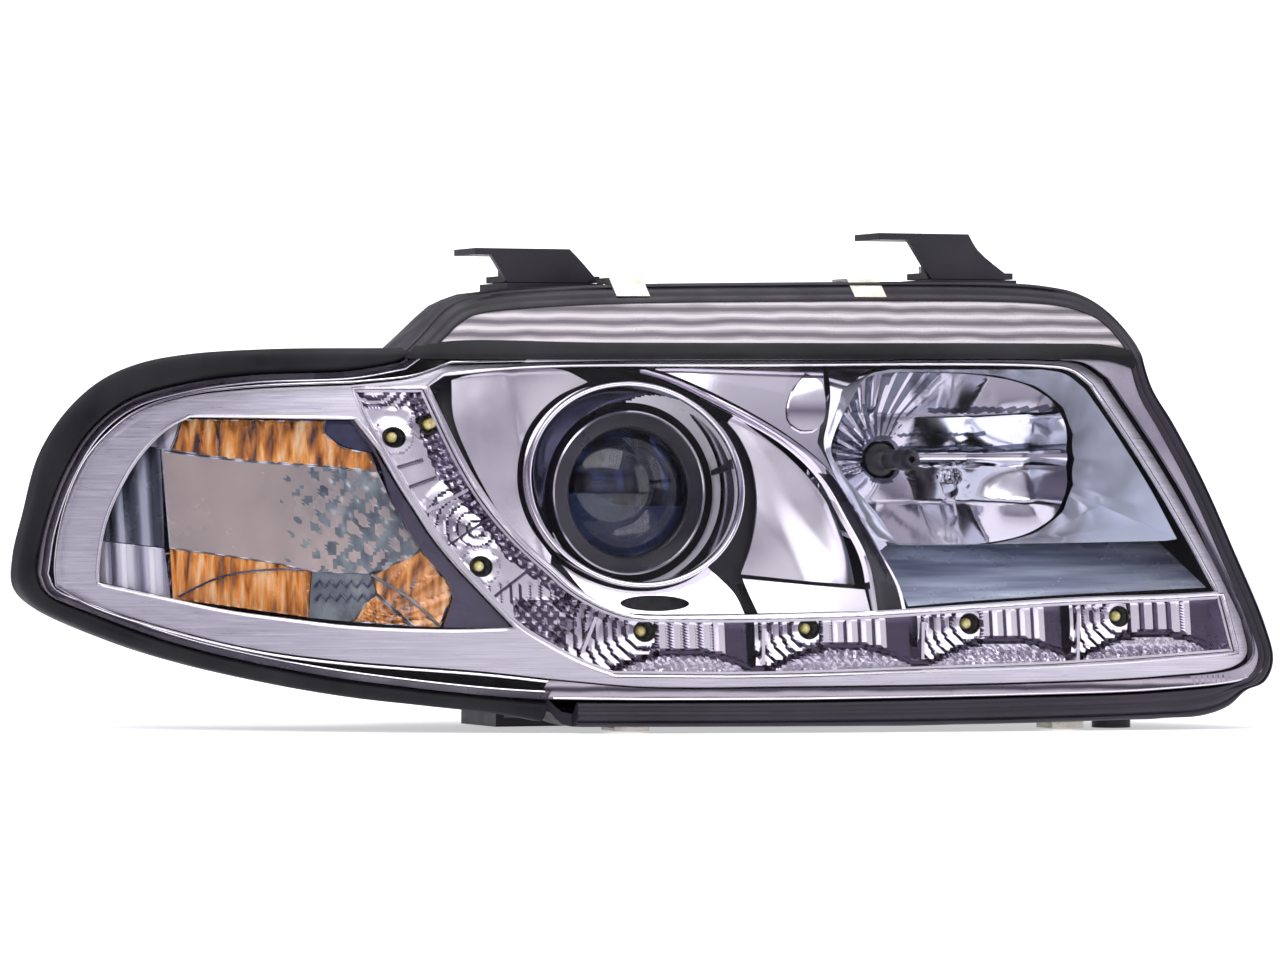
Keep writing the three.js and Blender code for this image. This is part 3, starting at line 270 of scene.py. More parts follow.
def fill(loops, spacing):
    """Triangles over the outlines, with inner points about spacing apart."""
    edge = np.array([p for loop in loops for p in loop], float)
    low, high = edge.min(0), edge.max(0)
    xs = np.arange(math.floor(low[0] / spacing), math.ceil(high[0] / spacing) + 1) * spacing
    zs = np.arange(math.floor(low[1] / spacing), math.ceil(high[1] / spacing) + 1) * spacing
    grid = np.stack(np.meshgrid(xs, zs), -1).reshape(-1, 2)
    grid = grid[inside(grid, loops)]
    nearest = np.array([np.hypot(*(edge - g).T).min() for g in grid]) if len(grid) else np.zeros(0)
    inner = grid[nearest > spacing * 0.55] if len(grid) else grid.reshape(0, 2)
    places = [Vector(p) for p in edge] + [Vector(p) for p in inner]
    edges = []
    start = 0
    for loop in loops:
        edges += [(start + i, start + (i + 1) % len(loop)) for i in range(len(loop))]
        start += len(loop)
    points, _, triangles, *_ = delaunay_2d_cdt(places, edges, [], 0, 1e-4)
    points = np.array([tuple(p) for p in points])
    triangles = np.array([list(t) for t in triangles])
    kept = triangles[inside(points[triangles].mean(1), loops)]
    used, kept = np.unique(kept, return_inverse=True)
    return points[used], kept.reshape(-1, 3)


class Shape:
    """Points and faces of one piece, gathered before its mesh is made. Each face has a material number."""

    def __init__(self):
        self.points = []
        self.faces = []
        self.kinds = []

    def add(self, points, faces, kinds=0):
        start = len(self.points)
        self.points += [tuple(p) for p in points]
        self.faces += [tuple(start + i for i in f) for f in faces]
        self.kinds += [kinds] * len(faces) if isinstance(kinds, int) else list(kinds)
        return self

    def plate(self, loops, depth_at, thickness, spacing=4, kind_at=0):
        """A plate over the outlines, at depth_at(x, z) behind the face."""
        flat, triangles = fill(loops, spacing)
        front = [(x, face(x, z) + depth_at(x, z), z) for x, z in flat]
        rear = [(x, y + thickness, z) for x, y, z in front]
        n = len(front)
        sides = dict.fromkeys(edge for a, b, c in triangles for edge in ((a, b), (b, c), (c, a)))
        rim = [(a, b) for a, b in sides if (b, a) not in sides]
        faces = [(a, b, c) for a, b, c in triangles]
        faces += [(n + c, n + b, n + a) for a, b, c in triangles]
        faces += [(b, a, n + a, n + b) for a, b in rim]
        if callable(kind_at):
            front_kinds = [kind_at(*flat[list(t)].mean(0)) for t in triangles]
            rim_kinds = [kind_at(*flat[a]) for a, b in rim]
        else:
            front_kinds = [kind_at] * len(triangles)
            rim_kinds = [kind_at] * len(rim)
        return self.add(front + rear, faces, front_kinds * 2 + rim_kinds)

    def loft(self, rows, closed_rows=False, closed_across=True, kinds=0, capped=True):
        """A surface over rows of equal length. An open run of closed rows gets flat ends."""
        count = len(rows[0])
        spans = len(rows) if closed_rows else len(rows) - 1
        across = count if closed_across else count - 1
        faces = []
        for k in range(spans):
            after = (k + 1) % len(rows)
            for i in range(across):
                j = (i + 1) % count
                faces.append((k * count + i, k * count + j, after * count + j, after * count + i))
        if closed_across and not closed_rows and capped:
            faces.append(tuple(reversed(range(count))))
            faces.append(tuple(range((len(rows) - 1) * count, len(rows) * count)))
        return self.add([p for row in rows for p in row], faces, kinds)

    def lathe(self, profile, x, z, sides=64, kind=0):
        """A turned piece on an axis along Y: the profile is a closed list of (radius, depth)."""
        turns = [2 * math.pi * i / sides for i in range(sides)]
        rows = [[(x + r * math.cos(a), y, z + r * math.sin(a)) for r, y in profile] for a in turns]
        return self.loft(rows, closed_rows=True, kinds=kind)

    def bead(self, path, depth, radius, sides=8, kind=0, closed=False):
        """A round bead along a path in the front view, at a depth behind the face."""
        places = [Vector((x, face(x, z) + depth, z)) for x, z in path]
        rows = []
        for i, place in enumerate(places):
            before = places[i - 1] if closed or i else place
            after = places[(i + 1) % len(places)] if closed or i < len(places) - 1 else place
            along = (after - before).normalized()
            side = along.cross(Vector((0, 1, 0))).normalized()
            up = side.cross(along)
            turns = [2 * math.pi * k / sides for k in range(sides)]
            rows.append([place + radius * (math.cos(a) * side + math.sin(a) * up) for a in turns])
        return self.loft(rows, closed_rows=closed, kinds=kind)


def build(name, shape, materials, body="lamp_body", replaces=(), bevel=0, sharp=40):
    """The piece's object, riding on its body and standing for its CAD nodes."""
    mesh = bpy.data.meshes.new(name)
    mesh.from_pydata([world(*p) for p in shape.points], [], shape.faces)
    for material in materials:
        mesh.materials.append(material)
    mesh.polygons.foreach_set("material_index", shape.kinds)
    return finish(mesh, body, replaces, bevel, sharp, WELD)


def finish(mesh, body, replaces, bevel, sharp, weld):
    """Joins the mesh's shared corners and makes it a smooth-shaded piece that rides on a body."""
    work = bmesh.new()
    work.from_mesh(mesh)
    bmesh.ops.remove_doubles(work, verts=work.verts, dist=weld)
    bmesh.ops.recalc_face_normals(work, faces=work.faces)
    work.to_mesh(mesh)
    work.free()
    mesh.shade_smooth()
    mesh.set_sharp_from_angle(angle=math.radians(sharp))
    piece = bpy.data.objects.new(mesh.name, mesh)
    bpy.context.scene.collection.objects.link(piece)
    if bevel:
        add_bevel(piece, bevel)
    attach(piece, body)
    if replaces:
        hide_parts(*replaces)
    return piece


def add_bevel(piece, width):
    modifier = piece.modifiers.new("edges", "BEVEL")
    modifier.width = width * MM
    modifier.segments = 2
    modifier.limit_method = "ANGLE"
    modifier.angle_limit = math.radians(50)


# ---------------------------------------------------------------- materials
def surface(name, colour, roughness, metallic=0, **others):
    material = bpy.data.materials.new(name)
    material.use_nodes = True
    shader = material.node_tree.nodes["Principled BSDF"]
    shader.inputs["Base Color"].default_value = (*colour, 1)
    shader.inputs["Roughness"].default_value = roughness
    shader.inputs["Metallic"].default_value = metallic
    for socket, value in others.items():
        shader.inputs[socket.replace("_", " ")].default_value = value
    return material


def place_in(material, stretch=(1, 1, 1)):
    """The object's own coordinates, stretched along each axis."""
    nodes, links = material.node_tree.nodes, material.node_tree.links
    where = nodes.new("ShaderNodeTexCoord")
    mapping = nodes.new("ShaderNodeMapping")
    mapping.inputs["Scale"].default_value = stretch
    links.new(where.outputs["Object"], mapping.inputs["Vector"])
    return mapping.outputs["Vector"]


def noise(material, scale, detail=3, stretch=(1, 1, 1)):
    node = material.node_tree.nodes.new("ShaderNodeTexNoise")
    node.inputs["Scale"].default_value = scale
    node.inputs["Detail"].default_value = detail
    material.node_tree.links.new(place_in(material, stretch), node.inputs["Vector"])
    return node.outputs["Fac"]


def wave(material, scale, direction="Z", distortion=0.0):
    node = material.node_tree.nodes.new("ShaderNodeTexWave")
    node.bands_direction = direction
    node.inputs["Scale"].default_value = scale
    node.inputs["Distortion"].default_value = distortion
    node.inputs["Detail"].default_value = 1
    material.node_tree.links.new(place_in(material), node.inputs["Vector"])
    return node.outputs["Fac"]


def cells(material, scale):
    node = material.node_tree.nodes.new("ShaderNodeTexVoronoi")
    node.inputs["Scale"].default_value = scale
    material.node_tree.links.new(place_in(material), node.inputs["Vector"])
    return node.outputs["Distance"]


def vary(material, socket, texture, low, high, start=0.3, end=0.7):
    """Lets the texture move a number of the shader between low and high."""
    nodes, links = material.node_tree.nodes, material.node_tree.links
    scale = nodes.new("ShaderNodeMapRange")
    scale.inputs["From Min"].default_value = start
    scale.inputs["From Max"].default_value = end
    scale.inputs["To Min"].default_value = low
    scale.inputs["To Max"].default_value = high
    links.new(texture, scale.inputs["Value"])
    links.new(scale.outputs["Result"], nodes["Principled BSDF"].inputs[socket])


def set_stops(ramp, stops):
    elements = ramp.color_ramp.elements
    while len(elements) < len(stops):
        elements.new(0.5)
    for element, (spot, colour) in zip(elements, stops):
        element.position = spot
        element.color = (*colour, 1)


def tint(material, texture, stops):
    """Lets the texture choose the colour from a list of (place, colour)."""
    nodes, links = material.node_tree.nodes, material.node_tree.links
    ramp = nodes.new("ShaderNodeValToRGB")
    set_stops(ramp, stops)
    links.new(texture, ramp.inputs["Fac"])
    links.new(ramp.outputs["Color"], nodes["Principled BSDF"].inputs["Base Color"])


def bump(material, *layers):
    """Raises the surface by several textures, each as (texture, height in millimetres)."""
    nodes, links = material.node_tree.nodes, material.node_tree.links
    normal = None
    for texture, height in layers:
        node = nodes.new("ShaderNodeBump")
        node.inputs["Strength"].default_value = 1
        node.inputs["Distance"].default_value = height * MM
        links.new(texture, node.inputs["Height"])
        if normal:
            links.new(normal, node.inputs["Normal"])
        normal = node.outputs["Normal"]
    links.new(normal, nodes["Principled BSDF"].inputs["Normal"])


def let_light_through(material, tone=(1, 1, 1)):
    """Shadow and diffuse rays pass straight through the glass, so what is behind it is lit."""
    nodes, links = material.node_tree.nodes, material.node_tree.links
    path = nodes.new("ShaderNodeLightPath")
    either = nodes.new("ShaderNodeMath")
    either.operation = "MAXIMUM"
    links.new(path.outputs["Is Shadow Ray"], either.inputs[0])
    links.new(path.outputs["Is Diffuse Ray"], either.inputs[1])
    straight = nodes.new("ShaderNodeBsdfTransparent")
    straight.inputs["Color"].default_value = (*tone, 1)
    mix = nodes.new("ShaderNodeMixShader")
    links.new(either.outputs["Value"], mix.inputs["Fac"])
    links.new(nodes["Principled BSDF"].outputs["BSDF"], mix.inputs[1])
    links.new(straight.outputs["BSDF"], mix.inputs[2])
    links.new(mix.outputs["Shader"], nodes["Material Output"].inputs["Surface"])


def black_plastic():
    m = surface("black_plastic", (0.02, 0.018, 0.024), 0.42, Specular_IOR_Level=0.35)
    tint(m, noise(m, 14, 4), [(0.35, (0.01, 0.008, 0.014)), (0.65, (0.026, 0.021, 0.034))])
    vary(m, "Roughness", noise(m, 60, 4), 0.32, 0.55)
    bump(m, (noise(m, 1800, 2), 0.03), (noise(m, 90, 2), 0.08))
    return m


def black_rubber():
    m = surface("black_rubber", (0.01, 0.013, 0.013), 0.5, Specular_IOR_Level=0.09)
    tint(m, noise(m, 22, 4), [(0.35, (0.01, 0.01, 0.012)), (0.68, (0.024, 0.024, 0.028))])
    vary(m, "Roughness", noise(m, 45, 5), 0.36, 0.62)
    bump(m, (noise(m, 900, 3), 0.04), (noise(m, 30, 2), 0.3))
    return m


def cap_rubber():
    m = surface("cap_rubber", (0.02, 0.021, 0.023), 0.55, Specular_IOR_Level=0.3)
    tint(m, noise(m, 30, 4), [(0.35, (0.012, 0.013, 0.014)), (0.68, (0.03, 0.032, 0.036))])
    vary(m, "Roughness", noise(m, 60, 5), 0.42, 0.66)
    bump(m, (noise(m, 1100, 3), 0.03), (noise(m, 40, 2), 0.15))
    return m


def satin_silver():
    m = surface("satin_silver", (0.72, 0.7, 0.76), 0.34, 0.92, Anisotropic=0.5)
    brushed = noise(m, 24, 5, (1.2, 1.2, 60))
    tint(m, brushed, [(0.3, (0.62, 0.6, 0.67)), (0.55, (0.75, 0.73, 0.79)), (0.75, (0.84, 0.83, 0.88))])
    vary(m, "Roughness", noise(m, 30, 4, (2, 2, 40)), 0.27, 0.42)
    bump(m, (brushed, 0.05), (noise(m, 900, 2), 0.008))
    return m


def mirror_chrome(name="mirror_chrome", colour=(0.83, 0.8, 0.87), low=0.04, high=0.12, ripple=0.12):
    m = surface(name, colour, low, 1)
    tint(m, noise(m, 9, 3), [(0.35, tuple(c * 0.9 for c in colour)), (0.65, colour)])
    vary(m, "Roughness", noise(m, 38, 4), low, high)
    bump(m, (noise(m, 26, 2), ripple), (noise(m, 700, 2), 0.004))
    return m


def dark_trim():
    m = surface("dark_trim", (0.03, 0.025, 0.045), 0.28, 0.1, Coat_Weight=0.3)
    tint(m, noise(m, 16, 4), [(0.3, (0.02, 0.016, 0.034)), (0.7, (0.06, 0.05, 0.09))])
    vary(m, "Roughness", noise(m, 55, 4), 0.2, 0.38)
    bump(m, (noise(m, 420, 3), 0.02), (noise(m, 40, 2), 0.1))
    return m


# Near-black, for black parts such as the bulbs' tips and the lens retainer. It is also painted shade in the
# rings and discs at the bulbs' feet and in the funnel's slot.
def black_recess():
    m = surface("black_recess", (0.008, 0.007, 0.012), 0.3)
    tint(m, noise(m, 30, 3), [(0.4, (0.004, 0.004, 0.007)), (0.7, (0.02, 0.017, 0.03))])
    vary(m, "Roughness", noise(m, 70, 3), 0.22, 0.5)
    bump(m, (noise(m, 300, 2), 0.03))
    return m


def clear_lens():
    m = surface("clear_lens", (0.99, 0.985, 1), 0.0, 0, Transmission_Weight=1, IOR=1.2)
    let_light_through(m, (0.97, 0.97, 0.98))
    return m


def ribbed_skirt():
    m = surface("ribbed_skirt", (0.5, 0.46, 0.52), 0.3, 0.25, Coat_Weight=0.4, Coat_Roughness=0.05)
    tint(m, wave(m, 52, "Z", 1.2), [(0.08, (0.07, 0.055, 0.08)), (0.3, (0.2, 0.17, 0.2)),
                                    (0.75, (0.33, 0.29, 0.32)), (0.93, (0.52, 0.48, 0.51))])
    vary(m, "Roughness", noise(m, 60, 4), 0.2, 0.42)
    bump(m, (wave(m, 52, "Z", 0.6), 0.35), (noise(m, 300, 3), 0.03))
    return m


def frosted_edge():
    m = surface("frosted_edge", (0.36, 0.33, 0.39), 0.28, 0.3, Coat_Weight=0.5, Coat_Roughness=0.06)
    tint(m, noise(m, 20, 4), [(0.3, (0.2, 0.18, 0.24)), (0.5, (0.33, 0.3, 0.37)),
                              (0.7, (0.5, 0.47, 0.54))])
    vary(m, "Roughness", noise(m, 60, 4), 0.2, 0.42)
    bump(m, (noise(m, 28, 2), 0.5), (noise(m, 300, 3), 0.03))
    return m


# A darker copy of the frosted edge, for the lens's band along the bottom, striped dark and light.
def lower_edge_darker():
    m = surface("lower_edge_darker", (0.18, 0.15, 0.2), 0.3, 0.2, Coat_Weight=0.5, Coat_Roughness=0.08)
    tint(m, wave(m, 64, "Z", 0.8), [(0.1, (0.03, 0.024, 0.04)), (0.45, (0.17, 0.14, 0.19)),
                                    (0.9, (0.42, 0.37, 0.43))])
    vary(m, "Roughness", noise(m, 60, 4), 0.22, 0.45)
    bump(m, (wave(m, 64, "Z", 0.8), 0.4), (noise(m, 240, 3), 0.04))
    return m


def silver_paint():
    m = surface("silver_paint", (0.8, 0.78, 0.83), 0.34, 0.05, Coat_Weight=0.1)
    tint(m, noise(m, 22, 3), [(0.3, (0.74, 0.72, 0.78)), (0.7, (0.86, 0.84, 0.88))])
    vary(m, "Roughness", noise(m, 60, 4), 0.22, 0.38)
    bump(m, (noise(m, 30, 2), 0.2), (noise(m, 800, 2), 0.006))
    return m


def spring_steel():
    m = surface("spring_steel", (0.6, 0.57, 0.5), 0.3, 0.9)
    tint(m, noise(m, 120, 4), [(0.3, (0.5, 0.47, 0.41)), (0.7, (0.72, 0.69, 0.62))])
    vary(m, "Roughness", noise(m, 200, 4), 0.22, 0.45)
    bump(m, (noise(m, 700, 3, (1, 1, 8)), 0.02))
    return m


def zinc_steel():
    m = surface("zinc_steel", (0.55, 0.56, 0.58), 0.35, 1)
    tint(m, cells(m, 600), [(0.1, (0.45, 0.46, 0.49)), (0.6, (0.64, 0.64, 0.62))])
    vary(m, "Roughness", noise(m, 260, 4), 0.25, 0.48)
    bump(m, (noise(m, 1400, 3), 0.02))
    return m


def board_green():
    m = surface("board_green", (0.02, 0.1, 0.05), 0.35, Coat_Weight=0.5)
    tint(m, cells(m, 260), [(0.1, (0.012, 0.07, 0.035)), (0.5, (0.03, 0.15, 0.07)),
                            (0.9, (0.35, 0.27, 0.1))])
    vary(m, "Roughness", noise(m, 90, 3), 0.25, 0.45)
    bump(m, (cells(m, 260), 0.06))
    return m


def led_dome():
    m = surface("led_dome", (0.72, 0.62, 0.18), 0.06, 0, Coat_Weight=1.0)
    tint(m, noise(m, 380, 3), [(0.35, (0.5, 0.42, 0.1)), (0.6, (0.86, 0.78, 0.32)),
                               (0.8, (0.97, 0.94, 0.66))])
    vary(m, "Roughness", noise(m, 500, 2), 0.03, 0.16)
    bump(m, (noise(m, 600, 2), 0.02))
    return m


def amber_lens():
    m = surface("amber_lens", (0.8, 0.27, 0.03), 0.14, 0.15, Coat_Weight=1.0, Coat_Roughness=0.03)
    streaks = noise(m, 60, 5, (3.2, 3.2, 0.45))
    tint(m, streaks, [(0.33, (0.05, 0.022, 0.014)), (0.43, (0.4, 0.13, 0.02)),
                      (0.54, (0.76, 0.31, 0.06)), (0.68, (0.92, 0.64, 0.37))])
    vary(m, "Roughness", noise(m, 110, 4), 0.06, 0.3)
    bump(m, (streaks, 0.5), (noise(m, 260, 3), 0.06))
    return m


def smoked_lens():
    m = surface("smoked_lens", (0.3, 0.25, 0.24), 0.22, 0.2, Coat_Weight=0.8, Coat_Roughness=0.06)
    tint(m, noise(m, 13, 4, (1, 1, 0.6)), [(0.33, (0.19, 0.19, 0.2)), (0.5, (0.36, 0.3, 0.285)),
                                           (0.66, (0.47, 0.38, 0.355))])
    vary(m, "Roughness", noise(m, 50, 4), 0.14, 0.32)
    bump(m, (noise(m, 40, 3), 0.25), (noise(m, 420, 2), 0.02))
    return m


def blue_grey_lens():
    m = surface("blue_grey_lens", (0.2, 0.24, 0.28), 0.18, 0.3, Coat_Weight=0.8)
    streaks = noise(m, 55, 4, (1.5, 1.5, 1))
    tint(m, streaks, [(0.3, (0.06, 0.07, 0.1)), (0.5, (0.15, 0.18, 0.2)), (0.7, (0.3, 0.33, 0.34))])
    vary(m, "Roughness", noise(m, 90, 4), 0.1, 0.3)
    bump(m, (streaks, 0.5), (noise(m, 300, 2), 0.04))
    return m


def dark_ribs():
    m = surface("dark_ribs", (0.09, 0.1, 0.13), 0.2, 0.35, Coat_Weight=0.7)
    tint(m, wave(m, 34, "X", 0.8), [(0.15, (0.03, 0.035, 0.055)), (0.6, (0.12, 0.13, 0.17)),
                                    (0.95, (0.4, 0.42, 0.5))])
    vary(m, "Roughness", noise(m, 100, 3), 0.12, 0.32)
    bump(m, (noise(m, 200, 3), 0.06))
    return m


def white_ribs():
    m = surface("white_ribs", (0.74, 0.72, 0.8), 0.14, 0.55, Coat_Weight=0.8)
    tint(m, wave(m, 30, "X", 0.5), [(0.1, (0.26, 0.25, 0.33)), (0.45, (0.74, 0.72, 0.81)),
                                    (0.9, (0.92, 0.91, 0.96))])
    vary(m, "Roughness", noise(m, 100, 3), 0.08, 0.24)
    bump(m, (noise(m, 200, 3), 0.05))
    return m


def grey_nylon():
    m = surface("grey_nylon", (0.42, 0.42, 0.44), 0.5, Subsurface_Weight=0.05)
    tint(m, noise(m, 70, 4), [(0.3, (0.36, 0.36, 0.38)), (0.7, (0.48, 0.48, 0.5))])
    vary(m, "Roughness", noise(m, 140, 4), 0.42, 0.62)
    bump(m, (noise(m, 900, 3), 0.02))
    return m


def bulb_glass():
    m = surface("bulb_glass", (0.95, 0.96, 1), 0.0, 0, Transmission_Weight=1, IOR=1.35)
    let_light_through(m)
    return m


def projector_glass():
    m = surface("projector_glass", (0.16, 0.2, 0.32), 0.0, 0, Transmission_Weight=1, IOR=1.45,
                Coat_Weight=0.3)
    let_light_through(m, (0.3, 0.34, 0.45))
    return m


def blue_shelf():
    m = surface("blue_shelf", (0.3, 0.34, 0.42), 0.22, 0.4)
    stripes = noise(m, 30, 4, (0.5, 0.5, 7))
    tint(m, stripes, [(0.3, (0.15, 0.17, 0.25)), (0.5, (0.34, 0.37, 0.47)), (0.66, (0.52, 0.58, 0.66)),
                      (0.8, (0.78, 0.82, 0.87))])
    vary(m, "Roughness", noise(m, 60, 4), 0.12, 0.34)
    bump(m, (stripes, 0.4), (noise(m, 240, 3), 0.04))
    return m


def side_chrome():
    m = mirror_chrome("side_chrome", (0.78, 0.82, 0.93), 0.12, 0.26, 0.6)
    m.node_tree.nodes["Principled BSDF"].inputs["Metallic"].default_value = 0.6
    return m


MATERIALS = {
    "black_plastic": black_plastic(),
    "clear_lens": clear_lens(),
    "black_rubber": black_rubber(),
    "spring_steel": spring_steel(),
    "zinc_steel": zinc_steel(),
    "satin_silver": satin_silver(),
    "mirror_chrome": mirror_chrome(),
    "dark_trim": dark_trim(),
    "board_green": board_green(),
    "led_dome": led_dome(),
    "amber_lens": amber_lens(),
    "grey_nylon": grey_nylon(),
    "bulb_glass": bulb_glass(),
    "projector_glass": projector_glass(),
}
RECESS = black_recess()
PALE_CHROME = mirror_chrome("pale_chrome", (0.88, 0.85, 0.91), 0.14, 0.26, 0.1)
CHROME = MATERIALS["mirror_chrome"]
CAPS = ("low_beam_cap", "high_beam_cap", "vent_cap")
CAP_RUBBER = cap_rubber()
# Pieces with faceted curves, and the angle in degrees above which an edge of theirs stays sharp.
ROUNDED = {
    "housing": 42,
    "low_beam_cap": 35,
    "high_beam_cap": 35,
    "vent_cap": 35,
    "levelling_motor": 35,
    "height_adjuster": 35,
    "parking_bulb_holder": 35,
    "turn_bulb_holder": 35,
}


def finish_cad_nodes():
    """Every CAD node takes the material of its slot, and softened edges."""
    slots = {part["node"]: part["material_slot"] for part in frame["record"]["subparts"]}
    for name, node in frame["nodes"].items():
        material = CAP_RUBBER if name in CAPS else MATERIALS[slots[name]]
        for holder in node.material_slots:
            holder.link = "OBJECT"
            holder.material = material
        if name in ROUNDED:
            make_rounded(name, node, material)
        else:
            node.data.shade_smooth()
            node.data.set_sharp_from_angle(angle=math.radians(30))
            add_bevel(node, 0.35)


def make_rounded(name, node, material):
    """Stands for a node whose curves are faceted, with the same shape but smooth shading over them."""
    mesh = bpy.data.meshes.new(f"rounded_{name}")
    mesh.from_pydata([v.co for v in node.data.vertices], [], [p.vertices for p in node.data.polygons])
    mesh.materials.append(material)
    finish(mesh, body_of(node)[0], [name], 0.35, ROUNDED[name], CAD_WELD)


# ---------------------------------------------------------------- lens, seals and bezel
def make_lens():
    """The clear cover is a shallow tub, clear over the bezel and ribbed or frosted outside it."""
    clear, ribbed, frosted, lower_band = range(4)
    inner = offset(LENS, -LENS_WALL)
    shape = Shape()

    def kind_of(x, z):
        if z > HOOD_LINE:
            return ribbed
        if x < -62:
            return clear
        # The band along the bottom, except at the far right, is darker.
        return lower_band if z < 22.5 and x < 250 else frosted

    for loop, depth in ((LENS, 0), (inner, LENS_WALL)):
        for loops, over_bezel in (([BEZEL_EDGE], True), ([loop, BEZEL_EDGE], False)):
            flat, triangles = fill(loops, 4)
            points = behind_face(flat, depth)
            middles = flat[triangles].mean(1)
            kinds = [clear if over_bezel else kind_of(x, z) for x, z in middles]
            shape.add(points, [tuple(t) for t in triangles], kinds)
    wall = [behind_face(LENS, 0), behind_face(LENS, LENS_EDGE), behind_face(inner, LENS_EDGE),
            behind_face(inner, LENS_WALL)]
    shape.loft(wall, kinds=frosted, capped=False)
    materials = [MATERIALS["clear_lens"], ribbed_skirt(), frosted_edge(), lower_edge_darker()]
    build("lens_cover", shape, materials, replaces=["front_lens"])
    lines = Shape()
    lines.bead(offset(BEZEL_EDGE, 0.9), 1.2, 0.55, closed=True)
    lines.bead(offset(LENS, -3.4), 3.4, 0.4, closed=True)
    rims = [p for p in offset(LENS, -0.7) if p[0] > -60 and p[1] < 160]
    lines.bead(sorted_run(rims), -0.05, 0.5)
    build("lens_edge_lines", lines, [PALE_CHROME])


def sorted_run(points):
    """The run of outline places with its longest gap left open."""
    gaps = [math.dist(a, b) for a, b in zip(points, points[1:] + points[:1])]
    cut = gaps.index(max(gaps)) + 1
    return points[cut:] + points[:cut]


def rounded_strip(inner, outer, front, rear, crown):
    """Cross-sections of a rubber strip between two edge curves, with a crowned front."""
    rows = []
    for (x0, z0), (x1, z1) in zip(inner, outer):
        section = []
        for k in range(13):
            share = k / 12
            x, z = lerp(x0, x1, share), lerp(z0, z1, share)
            drop = crown * (1 - math.sqrt(max(0, 1 - (2 * share - 1) ** 2)))
            section.append((x, face(x, z) + front + drop, z))
        section.append((x1, face(x1, z1) + rear, z1))
        section.append((x0, face(x0, z0) + rear, z0))
        rows.append(section)
    return rows


def paired(first, second, count):
    """Two curves cut into the same number of equal steps."""
    def cut(points):
        p = np.array(points, float)
        run = np.concatenate([[0], np.cumsum(np.hypot(*(p[1:] - p[:-1]).T))])
        spots = np.linspace(0, run[-1], count)
        return [(np.interp(s, run, p[:, 0]), np.interp(s, run, p[:, 1])) for s in spots]
    return cut(first), cut(second)


SEAL_OUTER = [(-98, 176), (-113, 175.3), (-161, 175), (-192, 173), (-211, 169), (-226, 161.5),
              (-240, 147.5), (-252, 126.5), (-259.5, 98.5), (-264, 78), (-264, 64), (-257, 55),
              (-230, 40), (-205, 30.5), (-171, 21.5), (-140, 15.5), (-108, 11.5), (-79, 8),
              (-62, 4.6)]
SEAL_INNER = [(-103, 176), (-112.5, 169.3), (-132, 165.1), (-173, 163.1), (-200.2, 158.6),
              (-219.4, 151.6), (-234, 138.3), (-245.6, 117.7), (-254.1, 92), (-257.6, 71),
              (-254.4, 61.5), (-239.2, 52.9), (-207.2, 38.9), (-162.1, 26.9), (-115, 19.4),
              (-70, 14.9), (-60, 14.6)]


def make_seals():
    rubber = [MATERIALS["black_rubber"]]
    inner, outer = paired(smooth_run(SEAL_INNER, 2), smooth_run(SEAL_OUTER, 2), 220)
    corner = Shape().loft(rounded_strip(inner, outer, 0.6, 14.5, 4.5))
    build("corner_seal_strip", corner, rubber, replaces=["corner_seal"])
    low, high = paired(
        smooth_run([(-112, 170.2), (-98, 169.8), (60, 169.8), (180, 170.3), (203, 169.6),
                    (216.4, 165.4)], 2),
        smooth_run([(-106, 176), (-88, 178.5), (-30, 177.6), (60, 177.5), (180, 177.8), (204, 177.4),
                    (217.2, 174.6)], 2), 200)
    hood = Shape().loft(rounded_strip(low, high, -2.4, -0.4, 1.6))
    build("hood_seal_strip", hood, rubber, replaces=["hood_seal"])


def make_inner_bezel():
    shape = Shape().plate([BEZEL, TURN_WINDOW, STRIP, MAIN_WINDOW], lambda x, z: 7, 2.2, 4)
    build("silver_bezel", shape, [MATERIALS["satin_silver"]], replaces=["inner_bezel"],
          bevel=0.5)
    lines = Shape()
    for window in (TURN_WINDOW, MAIN_WINDOW, STRIP):
        lines.bead(offset(window, 0.9), 6.9, 0.75, closed=True)
    build("bezel_edges", lines, [PALE_CHROME])


# ---------------------------------------------------------------- projector side
def from_ring(x, z):
    return math.hypot(x - RING["x"], z - RING["z"])


